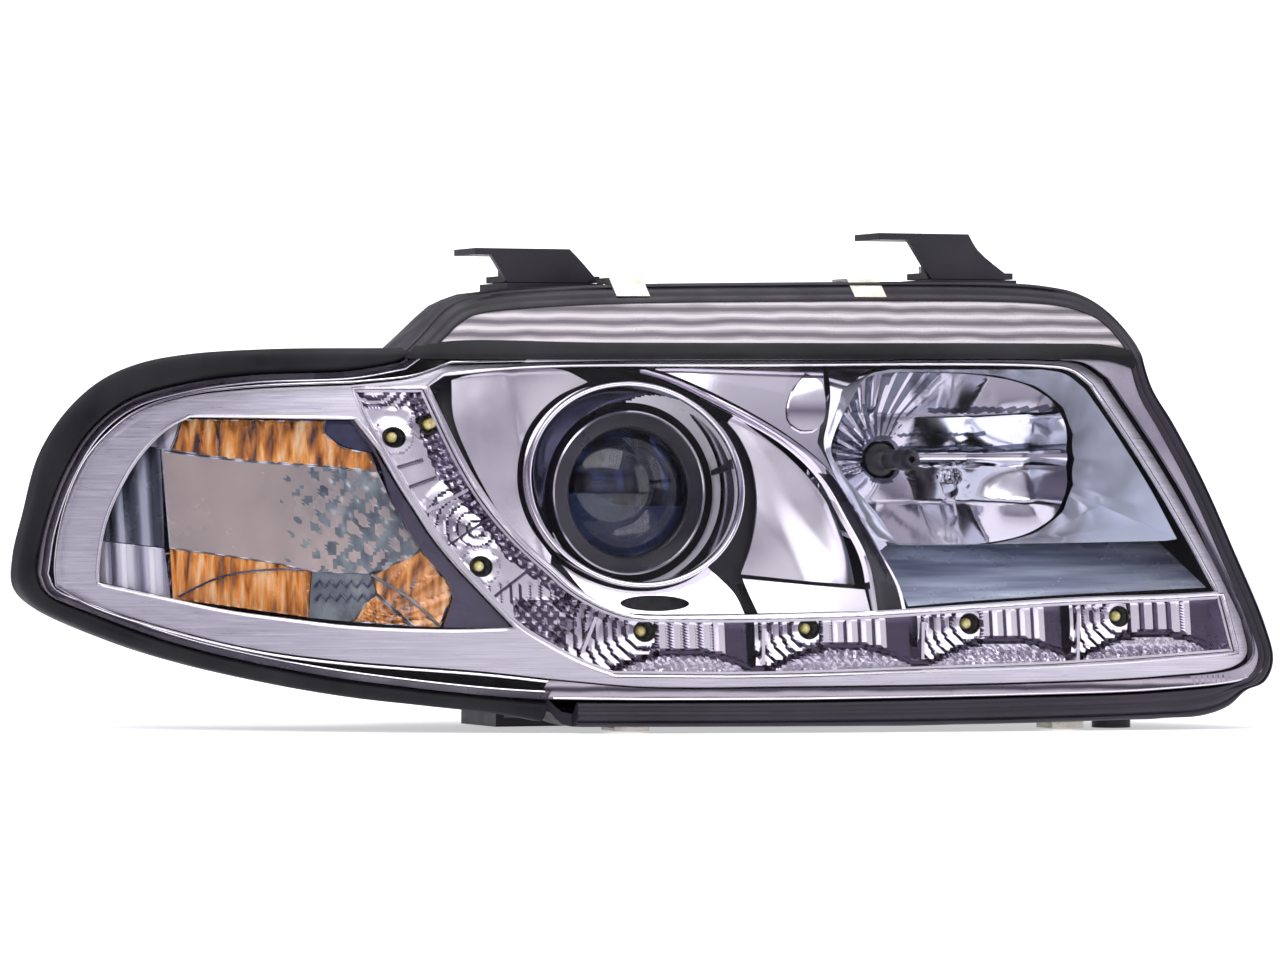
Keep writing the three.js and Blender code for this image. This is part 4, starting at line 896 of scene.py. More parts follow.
def make_projector_bezel():
    rx, rz, opening = RING["x"], RING["z"], RING["r"] + 1.6
    left_arc = arc(rx, rz, opening, 107, 222)
    foot_arc = arc(rx, rz, opening, 229, 309)
    left = outline([
        left_arc[::-4],
        [left_arc[0], (-41, 165), (-62, 165.4), (-82, 162.6), (-90, 160.2)],
        [(-90, 160.2), (-90.4, 142.8), (-85, 124.2), (-75.5, 102.5), (-63.6, 83), (-53, 76)],
    ])
    petal = outline([
        [(28.4, 140.8), (31.5, 143.6), (38.9, 138.1), (54.4, 125), (66, 111.4), (74, 97.8),
         (79.4, 83.9), (83.6, 66.4)],
        [(83.6, 66.4), (60, 68), (27.6, 71.4)],
        [(27.6, 71.4), (33.5, 86), (37.3, 104), (37, 122), (33, 134), (28.4, 140.8)],
    ])
    low_right = outline([
        [(29.5, 69.4), (60, 66.3), (84, 64.2)],
        [(84, 64.2), (85, 54.6)],
        [(85, 54.6), (60, 54), (34.2, 53.6)],
        [(34.2, 53.6), (31.5, 62), (29.5, 69.4)],
    ])
    foot = outline([
        foot_arc[::4],
        [foot_arc[-1], (25, 62.5), (28, 53.4)],
        [(28, 53.4), (0, 53.3), (-15, 53.4), (-26, 54.6), (-37, 60), foot_arc[0]],
    ])
    pocket = oval(-10.5, 58.2, 15, 3.6)

    def left_depth(x, z):
        near = min(max(1 - (from_ring(x, z) - opening) / 45, 0), 1)
        crease = 1.6 * smoothstep(-66, -58, x + 0.12 * (z - 140))
        return PANEL_FRONT + 6 * near**1.6 + crease

    def petal_depth(x, z):
        t = (from_ring(x, z) - opening - 2) / 48
        ridge = smoothstep(-9, 9, (x - 46) * 0.8 + (z - 104) * 0.45)
        return 13 + 10 * t * t - 5 * t + 3.2 * ridge

    def foot_depth(x, z):
        return 12 + 0.28 * max(0, z - 53)

    shape = Shape()
    shape.plate([left], left_depth, 1.4, 2.5)
    shape.plate([petal], petal_depth, 1.4, 2)
    shape.plate([low_right], lambda x, z: 12.5 + 0.22 * (z - 53), 1.4, 2.5)
    shape.plate([foot, pocket], foot_depth, 1.4, 2.5)
    behind = outline([
        [(x + 3.4, z + 2.4) for x, z in STRIP_INNER],
        [(-97, 158), (-92, 161.5)],
        [(-92, 161.5), (-60, 164.8), (-20, 165)],
        [(-20, 165), *[(x - 1.4, z - 0.8) for x, z in ARC_INNER[1:-1]], (84.6, 55)],
        [(84.6, 55), (27, 53.8), (-14, 53.8)],
    ])
    shape.plate([behind, circle(rx, rz, opening - 0.4)], lambda x, z: 26, 1.2, 6, kind_at=1)
    panels = mirror_chrome("panel_chrome", (0.9, 0.87, 0.92), 0.16, 0.26, 0.1)
    build("projector_petals", shape, [panels, RECESS], replaces=["projector_bezel"],
          bevel=0.35)


def make_projector_ring():
    """The rim follows the face and the mouth stands square to the projector."""
    sides = 180
    turns = [2 * math.pi * i / sides for i in range(sides)]

    def rim(r, depth):
        places = [(RING["x"] + r * math.cos(a), RING["z"] + r * math.sin(a)) for a in turns]
        return [(x, face(x, z) + RING["front"] + depth, z) for x, z in places]

    def mouth(r, y):
        return [(PROJECTOR[0] + r * math.cos(a), y, PROJECTOR[1] + r * math.sin(a)) for a in turns]

    def between(a, b, share, push):
        rows = []
        for p, q in zip(a, b):
            x, y, z = (lerp(u, v, share) for u, v in zip(p, q))
            rows.append((x + push * (x - RING["x"]) / 45, y, z + push * (z - RING["z"]) / 45))
        return rows

    r = RING["r"]
    rolled = [rim(r, 7), rim(r, 2), rim(r - 0.2, 0.8), rim(r - 0.7, 0.2), rim(r - 1.3, 0),
              rim(r - 2, 0.3), rim(r - 2.6, 1.2)]
    inner_edge = rim(r - 2.8, 2.6)
    end = mouth(RING["mouth"], RING["rear"])

    def cone_row(share):
        return between(inner_edge, end, share, 1.4 * math.sin(math.pi * share))

    cone = [cone_row(i / 12) for i in range(13)]
    back = [mouth(RING["mouth"] + 1.3, RING["rear"] + 1), rim(r - 1.6, 7)]
    rows = rolled + cone + back
    loops = [list(row) for row in zip(*rows)]
    painted = range(len(rolled), len(rolled) + len(cone) - 1)

    # The cone is silver paint, but a dark crescent is painted over its upper left. It is the holder's
    # painted shadow and a painted dark reflection, widest in the middle and only by the rim at its ends.
    def cone_kind(k, i):
        if i not in painted:
            return 0
        across = math.sin(math.pi * (k * 360 / sides - 58) / 180)
        return 3 if (i - len(rolled)) / 12 < 1.7 * across else 1

    kinds = [cone_kind(k, i) for k in range(len(loops)) for i in range(len(rows))]
    shape = Shape().loft(loops, closed_rows=True, kinds=kinds)
    # A small dark box on the cone's right wall stands for a slot; its black is painted shade.
    notch = []
    for share in (0.02, 0.25, 0.5, 0.75, 0.9):
        x, y, z = cone_row(share)[6]
        half = 1 + 1.2 * (1 - share)
        notch.append([(x - 1.4, y, z - half), (x + 0.6, y, z - half), (x + 0.6, y, z + half),
                      (x - 1.4, y, z + half)])
    shape.loft(notch, kinds=2)
    # Dark chrome for the crescent's painted shadow and reflection.
    shade = mirror_chrome("funnel_painted_shadow_and_reflection", (0.13, 0.13, 0.2), 0.08, 0.2, 0.2)
    build("projector_funnel", shape, [CHROME, silver_paint(), RECESS, shade],
          replaces=["projector_ring"], sharp=55)


def make_projector():
    x, z = PROJECTOR
    holder = Shape().lathe([(29.6, 114.4), (30.6, 113.4), (36, 113), (37.4, 113.4), (38.2, 114.6),
                            (38.3, 148), (47, 148), (47, 150.4), (36.8, 150.4), (36.8, 126),
                            (32, 123), (32, 117), (29.6, 116.6)], x, z, 120)
    holder.lathe([(36.6, 113.3), (37.2, 112.6), (37.9, 113.1), (38, 114.4), (37.2, 114.6)], x, z, 120,
                 kind=1)
    build("lens_retainer", holder, [RECESS, PALE_CHROME], "aiming_frame", ["lens_holder"],
          sharp=30)
    rise, edge, bottom = 12.6, 28.5, 117.2
    bulge = (edge**2 + rise**2) / (2 * rise)
    radii = [edge * k / 14 for k in range(15)]
    dome = [(r, bottom - rise + bulge - math.sqrt(bulge**2 - r**2)) for r in radii]
    glass = Shape().lathe([*dome, (31.5, bottom), (31.5, 121.6), (0, 121.6)], x, z, 96)
    build("projector_dome", glass, [MATERIALS["projector_glass"]], "aiming_frame", ["projector_lens"],
          sharp=30)


def make_arc_rim():
    inner, outer = paired(smooth_run(ARC_INNER, 2) + [ARC_INNER[-1]],
                          (smooth_run(ARC_OUTER, 2) + [ARC_OUTER[-1]])[::-1], 110)
    section = [(0, 16), (0, 10.8), (0.12, 10.2), (0.3, 11.4), (0.7, 12.4), (0.88, 10.2), (1, 10.8), (1, 16)]
    rows = []
    for (x0, z0), (x1, z1) in zip(inner, outer):
        row = []
        for share, depth in section:
            x, z = lerp(x0, x1, share), lerp(z0, z1, share)
            row.append((x, face(x, z) + depth, z))
        rows.append(row)
    kinds = [int(k > 62 and i in (2, 3, 4)) for k in range(len(rows) - 1) for i in range(len(section))]
    shape = Shape().loft(rows, kinds=kinds + [0, 0])
    build("bright_arc", shape, [CHROME, RECESS], replaces=["arc_rim"], sharp=50)


# ---------------------------------------------------------------- high beam side
SLIT = [(74.2, 165.4), (73.4, 153.6), (70.9, 142.8), (67.6, 131.6)]
BOWL_LEFT = [(104, 165.4), (93.4, 162.5), (85.1, 152.1), (75.2, 136), (72.7, 127.3), (77.2, 117),
             (91, 99), (99.5, 84.6)]
HIGH_WINDOW = outline([
    BOWL_LEFT,
    [(99.5, 84.6), (180, 85.4), (232.5, 86.4)],
    [(232.5, 86.4), (220.6, 112), (207, 137), (195.5, 156.6)],
    [(195.5, 156.6), (187, 163.5), (176, 165.6)],
    [(176, 165.6), (104, 165.4)],
], 1.5)


def edge_towards(loop, centre, turn):
    """Where a ray from the centre leaves the outline."""
    c, s = math.cos(turn), math.sin(turn)
    best = 0
    for (ax, az), (bx, bz) in zip(loop, loop[1:] + loop[:1]):
        ax, az, bx, bz = ax - centre[0], az - centre[1], bx - centre[0], bz - centre[1]
        across = (bx - ax) * s - (bz - az) * c
        if abs(across) < 1e-9:
            continue
        reach = ((bx - ax) * az - (bz - az) * ax) / across
        share = (ax * s - az * c) / -across
        if reach > best and -1e-6 <= share <= 1 + 1e-6:
            best = reach
    return centre[0] + best * c, centre[1] + best * s


def bowl_reach(turn):
    """Half the bowl's width and half its height in this direction, on its squarish front edge."""
    c, s = math.cos(turn), math.sin(turn)
    square = (abs(c) ** 3 + abs(s) ** 3) ** (-1 / 3)
    return (76 if c > 0 else 55) * square, 40.5 * square


def bowl_edge(turn):
    """The front edge of the faceted bowl in this direction."""
    across, up = bowl_reach(turn)
    return HIGH_BEAM[0] + across * math.cos(turn), HIGH_BEAM[1] + up * math.sin(turn)


def add_side_wall(shape):
    """The wall from the high beam's window back to the edge of its bowl, in flat panes."""
    sides = 240
    rows = []
    for i in range(sides):
        turn = 2 * math.pi * i / sides
        x0, z0 = edge_towards(HIGH_WINDOW, (HIGH_BEAM[0] + 8, HIGH_BEAM[1]), turn)
        x1, z1 = bowl_edge(turn)
        front = face(x0, z0) + 12.4
        pane = 1.1 * abs(math.sin(11 * turn))
        row = []
        for share in (0, 0.3, 0.34, 0.7, 0.74, 1):
            step = 0.8 if share in (0.34, 0.74) else 0
            row.append((lerp(x0, x1, share) - pane * share, lerp(front, 80, share) + step,
                        lerp(z0, z1, share)))
        rows.append(row + [(x, y + 1.2, z) for x, y, z in row[::-1]])
    shape.loft(rows, closed_rows=True, kinds=2)


def make_high_beam_surround():
    left = outline([
        [(x + 1.2, z + 0.8) for x, z in ARC_OUTER[3:]],
        [(-2, 165.6), (74, 165.6)],
        SLIT,
        [SLIT[-1], (72.4, 120.8)],
    ])
    middle = outline([
        [(77.2, 165.6), (101, 165.6)],
        [(101, 165.6), *BOWL_LEFT[1:]],
        [(99.5, 84.6), (93.4, 80.5)],
        [(93.4, 80.5), (82, 102.5), (73.8, 118.6)],
        [(73.8, 118.6), (70.4, 130.6), (74, 142.3), (76.8, 153.6), (77.2, 165.6)],
    ])
    leaf = outline([
        [(65, 163.6), (57.5, 155), (54.4, 146), (55.6, 140.4), (60.4, 137.2)],
        [(60.4, 137.2), (66, 137.6), (69.8, 141), (71.6, 150), (71, 159), (65, 163.6)],
    ])
    shelf = outline([
        [(101, 84), (101.8, 66), (102.4, 56.6)],
        [(102.4, 56.6), (133.5, 59), (181.5, 61.8), (244.4, 64.6)],
        [(244.4, 64.6), (233.6, 86)],
        [(233.6, 86), (180, 85), (101, 84)],
    ])

    def leaf_depth(x, z):
        up = min(max((z - 137) / 27, 0), 1)
        return 11.2 - 1.2 * math.sin(math.pi * up)

    shape = Shape()
    shape.plate([left], lambda x, z: 11 + 0.06 * max(0, x - 10), 1.4, 3)
    shape.plate([middle], lambda x, z: 14 + 0.35 * max(0, x - 70), 1.4, 2.5)
    shape.plate([leaf], leaf_depth, 2, 2)
    add_side_wall(shape)
    shape.plate([shelf], lambda x, z: 12 + 1.1 * max(0, z - 57 - 0.055 * (x - 102)), 1.4, 3, kind_at=3)
    build("high_beam_frame", shape, [CHROME, RECESS, side_chrome(), blue_shelf()],
          replaces=["high_beam_surround"], bevel=0.3)


FACET_X = [66, 84, 101, 143, 166, 190, 214]
FACET_Z = [84, 104, 121, 129, 145, 167]


def bowl_depth(x, z):
    """Depth of the faceted reflector: a dish whose panes each bulge a little."""
    u = (x - HIGH_BEAM[0]) / (75 if x > HIGH_BEAM[0] else 58)
    v = (z - HIGH_BEAM[1]) / 43
    base = 137 - 44 * min(1.25, (abs(u) ** 2.4 + abs(v) ** 2.4)) ** 0.8
    bulge = 0
    for value, knots in ((x, FACET_X), (z, FACET_Z)):
        for low, high in zip(knots, knots[1:]):
            if low <= value < high:
                share = (value - low) / (high - low)
                bulge += 6 * share * (1 - share)
    if x < 118 and z > 118:
        turn = math.atan2(z - HIGH_BEAM[1], x - HIGH_BEAM[0])
        bulge += 1.2 * abs(math.sin(turn * 15))
    return base - bulge


def bowl_kind(x, y, z):
    """Painted reflections: dark bands fan over the flutes above and left of the hub, and thin dark streaks
    run beside it; the ring round the bulb's hole is painted shade.
    """
    dx, dz = x - HIGH_BEAM[0], z - HIGH_BEAM[1]
    r, turn = math.hypot(dx, dz), math.degrees(math.atan2(dz, dx))
    if r < 12:
        return 1
    if 62 < turn or turn < -172:
        return int(math.sin(math.radians(turn) * 31) > (-0.15 if turn > 88 else 0.35))
    streak = (
        3 < dz < 6.6
        or (11 < dz < 12.6 and dx < 48)
        or (22 < dz < 24.6 and dx > 20)
        or (-1.6 < dz < -0.4 and dx < 40)
    )
    return int(streak and dx > 8)


def make_high_beam():
    x0, z0 = HIGH_BEAM
    sides = 168
    rows = []
    for k in range(34):
        share = k / 33
        row = []
        for i in range(sides):
            a = 2 * math.pi * i / sides
            across, up = bowl_reach(a)
            x = x0 + lerp(9.5, across, share) * math.cos(a)
            z = z0 + lerp(9.5, up, share) * math.sin(a)
            row.append((x, bowl_depth(x, z), z))
        rows.append(row)
    outer = [[(x, y + 1.5, z) for x, y, z in row] for row in rows[::-1]]
    neck = [[(x0 + r * math.cos(2 * math.pi * i / sides), 146,
              z0 + r * math.sin(2 * math.pi * i / sides)) for i in range(sides)]
            for r in (12, 9.5)]
    loops = rows[::-1] + [neck[1], neck[0]] + outer[::-1]
    fronts = len(rows) - 1
    kinds = [bowl_kind(*p) if k < fronts else 0 for k, loop in enumerate(loops) for p in loop]
    shape = Shape().loft(loops, closed_rows=True, kinds=kinds)
    chrome = mirror_chrome("bowl_chrome", (0.8, 0.78, 0.84), 0.05, 0.12, 0.25)
    # Dark chrome for the bowl's painted reflections and the painted shade round the bulb's hole.
    shade = mirror_chrome("bowl_painted_reflection_and_shade", (0.16, 0.17, 0.23), 0.08, 0.2, 0.3)
    build("faceted_bowl", shape, [chrome, shade], "aiming_frame", ["high_beam_reflector"],
          sharp=20)


# ---------------------------------------------------------------- LED strip
CELL_EDGES = [((-47, 28), (-34, 60)), ((34, 22), (36, 55)), ((106.5, 24), (108.5, 58)),
              ((179.5, 27), (181.7, 62)), ((255, 35), (249.5, 62))]
LEG_CUTS = [(-122, -104, 118, 124), (-114, -99, 110, 116), (-97, -79, 84, 97), (-79, -63, 61, 74)]
LEG_SPLIT = [(-106.7, 153.6), (-105.1, 141.2), (-100.9, 125.7), (-97.6, 114.9), (-82.3, 96.3),
             (-72.1, 79.2), (-50.3, 60.6)]


def strip_relief(x, z):
    """(depth, material) of the strip's stepped floor: rings round each LED, bars beside it, an arc below."""
    def distance(spot):
        if spot[0] < -60:
            return math.dist(spot, (x, z))
        return abs(spot[0] + 12 - x) + (200 if z > 62 else 0)

    led = min(LEDS, key=distance)
    r = math.dist(led, (x, z))
    if led[0] > -60:
        middle = led[0] + 16
        foot = 27 + 0.035 * (x + 20) + 9.5 * max(0, 1 - ((x - middle) / 34) ** 2)
        if z < foot - 2.4:
            return 17 + 0.8 * math.sin(x * 1.7) * math.sin(z * 2.1), 2
        if z < foot:
            return 19, 1
        if x > led[0] + 5:
            bar = (x - led[0]) % 6.4
            if x > led[0] + 36:
                return 20, 1
            return (14 if bar < 4.2 else 16.5), (0 if bar < 5.2 else 1)
        ring = r % 4.4
        return 12 + 0.5 * (ring if ring < 3.2 else 6), (0 if ring < 3.1 else 1)
    column = np.interp(z, [p[1] for p in LEG_SPLIT[::-1]], [p[0] for p in LEG_SPLIT[::-1]])
    if z < 60 and x > -70:
        dark = math.sin(x * 1.3) * math.sin(z * 1.1) > -0.2
        return 16 + 0.7 * math.sin(x * 2.2) * math.sin(z * 2.6), (1 if dark else 2)
    if x > column + 0.4:
        speck = math.sin(z * 1.1 + x * 0.4) * math.sin(x * 1.4 - z * 0.3)
        return 18 + 0.8 * speck, (1 if speck > -0.35 else 2)
    if z > 147.5:
        ring = math.dist((x, z), (-121, 160)) % 3.6
        return 15 + 0.2 * ring, (1 if ring < 1.9 else 0)
    cup = math.dist((x, z), (-84, 92))
    if 84 < z < 117 and cup < 24:
        ring = cup % 4.2
        return 13.5 + 0.5 * min(ring, 3), (1 if ring > 3.1 else 0)
    if 58 < z < 67 and (x + 80) % 4.2 < 1:
        return 15, 1
    if 7.4 < r < 8.2:
        return 15, 2
    return 13 + 0.25 * min(r, 9), 0


def make_led_tray():
    shape = Shape()
    floor = offset(STRIP, -0.9)
    holes = [circle(x, z, 4.9, 28) for x, z in LEDS]
    shape.plate([floor, *holes], lambda x, z: strip_relief(x, z)[0], 1.2, 1.3,
                kind_at=lambda x, z: strip_relief(x, z)[1])
    rim = offset(STRIP, -0.3)
    lip = offset(STRIP, -1.4)
    frame_rows = [behind_face(rim, 22), behind_face(rim, 9.8), behind_face(lip, 9.8), behind_face(lip, 22)]
    shape.loft(frame_rows, closed_rows=True, kinds=3)
    for cut in LEG_CUTS:
        shape.bead([(lerp(*cut[:2], k / 8), lerp(*cut[2:], k / 8)) for k in range(9)], 13.4, 0.5,
                   kind=1)
    for (x0, z0), (x1, z1) in CELL_EDGES[:-1] + [((-112, 96), (-84, 112))]:
        across = Vector((z1 - z0, x0 - x1)).normalized() * 0.7
        places = [(lerp(x0, x1, k / 8), lerp(z0, z1, k / 8)) for k in range(9)]
        places = [p for p, ok in zip(places, inside(places, [floor])) if ok]
        rows = []
        for x, z in places:
            corners = ((x + across.x, z + across.y), (x - across.x, z - across.y))
            ends = [(u, face(u, v) + d, v) for (u, v), d in zip(corners, (9.9, 9.9))]
            ends += [(u, face(u, v) + d, v) for (u, v), d in zip(corners[::-1], (21, 21))]
            rows.append(ends)
        shape.loft(rows, kinds=3)
    speckled = mirror_chrome("speckled_chrome", (0.5, 0.47, 0.54), 0.1, 0.3, 0.5)
    bump(speckled, (noise(speckled, 240, 3), 0.8))
    dark = mirror_chrome("dark_chrome", (0.1, 0.085, 0.13), 0.12, 0.3, 0.2)
    build("led_cells", shape, [PALE_CHROME, dark, speckled, PALE_CHROME], replaces=["led_tray"],
          sharp=25)


def make_leds():
    for i, (x, z) in enumerate(LEDS):
        base = face(x - 3, z - 3) + 25
        tip = base - 11
        turns = [math.pi / 2 * k / 8 for k in range(9)]
        dome = [(2.5 * math.sin(a), tip + 2.5 - 2.5 * math.cos(a)) for a in turns]
        lamp = [*dome, (2.5, base - 1.2), (2.9, base - 1.2), (2.9, base), (0, base)]
        cup = [(2.9, base - 8), (4.7, base - 10.6), (4.85, base - 10.4), (4.85, base - 1.4),
               (3.2, base - 1.4)]
        shape = Shape()
        shape.lathe(lamp, x, z, 32)
        shape.lathe(cup, x, z, 40, kind=1)
        build(f"led_lamp_{i + 1}", shape, [MATERIALS["led_dome"], RECESS], replaces=[f"led_{i + 1}"],
              sharp=35)


# ---------------------------------------------------------------- turn signal
TURN_REGIONS = {
    "dark_ribs": [[(-206, 128.6), (-211, 129), (-222, 114), (-230.4, 96), (-233.2, 87)],
                  [(-233.2, 87), (-207, 83.2)], [(-207, 83.2), (-206, 128.6)]],
    "white_ribs": [[(-233.2, 86.6), (-207, 82.8)], [(-207, 82.8), (-205.4, 60.2)],
                   [(-205.4, 60.2), (-233, 67.6)], [(-233, 67.6), (-233.2, 86.6)]],
    "white_corner": [[(-210.6, 129.6), (-204, 138.4), (-197.4, 142.4)],
                     [(-197.4, 142.4), (-200, 133.5), (-202.4, 128)], [(-202.4, 128), (-210.6, 129.6)]],
    "amber_top": [[(-202, 128), (-199.4, 134), (-196.8, 142.6)], [(-196.8, 142.6), (-141, 141.6)],
                  [(-141, 141.6), (-141.6, 136.6), (-135.6, 129.8), (-124.2, 126.6)],
                  [(-124.2, 126.6), (-122.2, 118.3)],
                  [(-122.2, 118.3), (-143.6, 120.8), (-162, 122.3), (-177, 123.8), (-202, 128)]],
    "navy": [[(-140.6, 141.6), (-126, 141.6)], [(-126, 141.6), (-121, 131), (-123.8, 127)],
             [(-123.8, 127), (-134.6, 130.2), (-141.2, 136.8), (-140.6, 141.6)]],
    "smoked": [[(-205.8, 127.9), (-177, 123.5), (-144, 120.4), (-122, 118)],
               [(-122, 118), (-117, 104), (-106.6, 83)],
               [(-106.6, 83), (-116, 76.6), (-128.1, 71.7)],
               [(-128.1, 71.7), (-150.7, 72.6), (-165, 76.2), (-205, 83)],
               [(-205, 83), (-205.8, 127.9)]],
    "amber_foot": [[(-205, 82.7), (-165, 75.9), (-151, 72.3)], [(-151, 72.3), (-153, 51.6)],
                   [(-153, 51.6), (-204.8, 59.8)], [(-204.8, 59.8), (-205, 82.7)]],
    "patch": [[(-150.6, 72.2), (-127.6, 71.4)], [(-127.6, 71.4), (-126, 62.2), (-136, 49.6)],
              [(-136, 49.6), (-152.7, 51.4)], [(-152.7, 51.4), (-150.6, 72.2)]],
    "fan_left": [[(-135.6, 49.4), (-131, 57), (-125.8, 62)], [(-125.8, 62), (-111.8, 47.6)],
                 [(-111.8, 47.6), (-135.6, 49.4)]],
    "fan_right": [[(-127.3, 71.2), (-117, 76.2), (-106.8, 82.4)], [(-106.8, 82.4), (-94.4, 64)],
                  [(-94.4, 64), (-100.6, 47.4)],
                  [(-100.6, 47.4), (-111.2, 47.7)], [(-111.2, 47.7), (-125.5, 62.4)],
                  [(-125.5, 62.4), (-127.3, 71.2)]],
}


# The materials of the turn signal's optics, by their number in that mesh.
AMBER, SMOKED, BLUE_GREY, DARK, WHITE, NAVY = range(6)


def flutes(pitch, height):
    return lambda x, z: 17.3 - height * abs(math.sin(math.pi * x / pitch))


def spokes(x, z):
    return 16.9 - 1.5 * abs(math.sin(14 * math.atan2(z - 44, x + 138)))


def ripples(x, z):
    tick = math.sin(x * 0.9) * math.sin(z * 0.45 + x * 0.1)
    return 15.6 - 0.9 * smoothstep(-160, -138, x) * max(0, tick)


def smoke_kind(x, z):
    """Smoked plastic, mottled blue-grey towards the inner end."""
    mottle = math.sin(x * 0.62 + 1.2 * math.sin(z * 0.2)) * math.sin(z * 0.5 + 0.9 * math.sin(x * 0.43))
    return BLUE_GREY if mottle > 1.1 - 1.3 * smoothstep(-172, -128, x) else SMOKED


def make_turn_signal():
    shape = Shape()
    regions = {name: outline(runs, 2) for name, runs in TURN_REGIONS.items()}
    plates = [
        ("dark_ribs", flutes(5.4, 1.6), 1.4, DARK),
        ("white_ribs", flutes(5.4, 1.6), 1.4, WHITE),
        ("white_corner", lambda x, z: 15.6, 2, WHITE),
        ("amber_top", flutes(5.9, 2.2), 1.4, AMBER),
        ("navy", lambda x, z: 16.4, 3, NAVY),
        ("smoked", ripples, 1.6, smoke_kind),
        ("amber_foot", flutes(3.9, 2.1), 1.3, AMBER),
        ("patch", lambda x, z: 16.6, 2, BLUE_GREY),
        ("fan_left", spokes, 1.2, AMBER),
        ("fan_right", spokes, 1.2, AMBER),
    ]
    for name, depth_at, spacing, kind in plates:
        shape.plate([regions[name]], depth_at, 1, spacing, kind_at=kind)
    zigzag = [(-150 + 2.1 * i, 60.4 + (1.8 if i % 2 else -1.2)) for i in range(12)]
    shape.bead(zigzag, 15.9, 0.8, kind=NAVY)
    shape.bead([(x, z + 6.2) for x, z in zigzag], 15.9, 0.8, kind=NAVY)
    shape.bead(smooth_run([(-203, 60.8), (-186, 70), (-166, 73.4), (-152, 73)], 2), 14.8, 0.5, kind=NAVY)
    shape.bead([(-127.6, 71.2), (-112, 60), (-101, 48)], 14.9, 0.7, kind=BLUE_GREY)
    for name in ("smoked", "amber_top", "fan_right", "fan_left", "white_corner"):
        shape.bead(offset(regions[name], -0.2), 15.9, 0.4, kind=DARK, closed=True)
    trim = surface("navy_trim", (0.03, 0.035, 0.09), 0.25, 0.3, Coat_Weight=0.6)
    tint(trim, noise(trim, 60, 3), [(0.35, (0.015, 0.017, 0.05)), (0.65, (0.07, 0.075, 0.15))])
    bump(trim, (noise(trim, 150, 3), 0.1))
    materials = [MATERIALS["amber_lens"], smoked_lens(), blue_grey_lens(), dark_ribs(), white_ribs(),
                 trim]
    build("turn_optics", shape, materials, replaces=["turn_inner_lens", "turn_side_panel"],
          sharp=30)
    right = [(x - 2.6, z - 1.4) for x, z in STRIP_OUTER[1:9]]
    wedge = outline([
        [(-133, 141.6), (-127.5, 142.4)],
        [(-127.5, 142.4), *right[1:]],
        [right[-1], (-100.6, 47.2)],
        [(-100.6, 47.2), (-96.5, 63.7), (-108, 82.3), (-118.2, 104), (-123, 124), (-133, 141.6)],
    ])
    panel = Shape().plate([wedge], lambda x, z: PANEL_FRONT - 0.4, 1.6, 3)
    build("purple_divider", panel, [MATERIALS["dark_trim"]], replaces=["divider_panel"],
          bevel=0.4)


def make_turn_reflector():
    """A dish behind the turn signal's optics, drawn in to the hole of its bulb."""
    edge = offset(TURN_WINDOW, -1.6)
    rows = []
    for x, z in edge:
        turn = math.atan2(z - 95, x + 160)
        hole = (-160 + 13 * math.cos(turn), 95 + 13 * math.sin(turn))
        row = []
        for share in (0, 0.25, 0.5, 0.75, 1):
            px, pz = lerp(x, hole[0], share), lerp(z, hole[1], share)
            row.append((px, face(px, pz) + lerp(19.4, 38, math.sin(math.pi / 2 * share)), pz))
        rows.append(row + [(a, b + 1.2, c) for a, b, c in row[::-1]])
    dish = Shape().loft(rows, closed_rows=True)
    build("turn_dish", dish, [CHROME], replaces=["turn_reflector"], sharp=50)


def make_bulbs():
    """Each bulb: clear glass with a black tip, on a steel flange and foot. A black ring and a black disc
    round the glass's foot are painted shade of the hole the bulb stands in.
    """
    for name, node, x, z, seat, tip in (("low", "low_beam_bulb", *PROJECTOR, 203.6, 168),
                                        ("high", "high_beam_bulb", *HIGH_BEAM, 146.6, 98)):
        glass = [(0, tip), (2.6, tip + 0.4), (4.2, tip + 2), (4.6, tip + 4.5), (4.6, seat - 14),
                 (5.6, seat - 12), (0, seat - 12)]
        cap = [(0, tip - 0.5), (3, tip - 0.2), (4.8, tip + 1.6), (5.2, tip + 4), (5.2, tip + 11),
               (4.75, tip + 11), (4.75, tip + 4)]
        metal = [(0, seat - 11.9), (7, seat - 11.9), (7, seat), (11.5, seat), (11.5, seat + 1.6),
                 (6.5, seat + 1.6), (6.5, seat + 9), (3, seat + 9), (3, seat + 15), (0, seat + 15)]
        # A black ring round the glass's foot: painted shade of the hole around the bulb.
        hood = [(6.2, seat - 12), (8.6, seat - 9), (9, seat - 2), (8.4, seat - 2), (8, seat - 8.6),
                (6.2, seat - 11)]
        # A black disc behind the glass, which keeps the glass dark: painted shade.
        shade_disc = [(0, seat - 12.8), (7.6, seat - 12.8), (8, seat - 12.2), (0, seat - 12.2)]
        shape = Shape()
        shape.lathe(glass, x, z, 40)
        shape.lathe(cap, x, z, 40, kind=1)
        shape.lathe(metal, x, z, 48, kind=2)
        shape.lathe(hood, x, z, 48, kind=1)
        shape.lathe(shade_disc, x, z, 48, kind=1)
        materials = [MATERIALS["bulb_glass"], RECESS, MATERIALS["zinc_steel"]]
        build(f"{name}_bulb_assembly", shape, materials, "aiming_frame", [node], sharp=30)


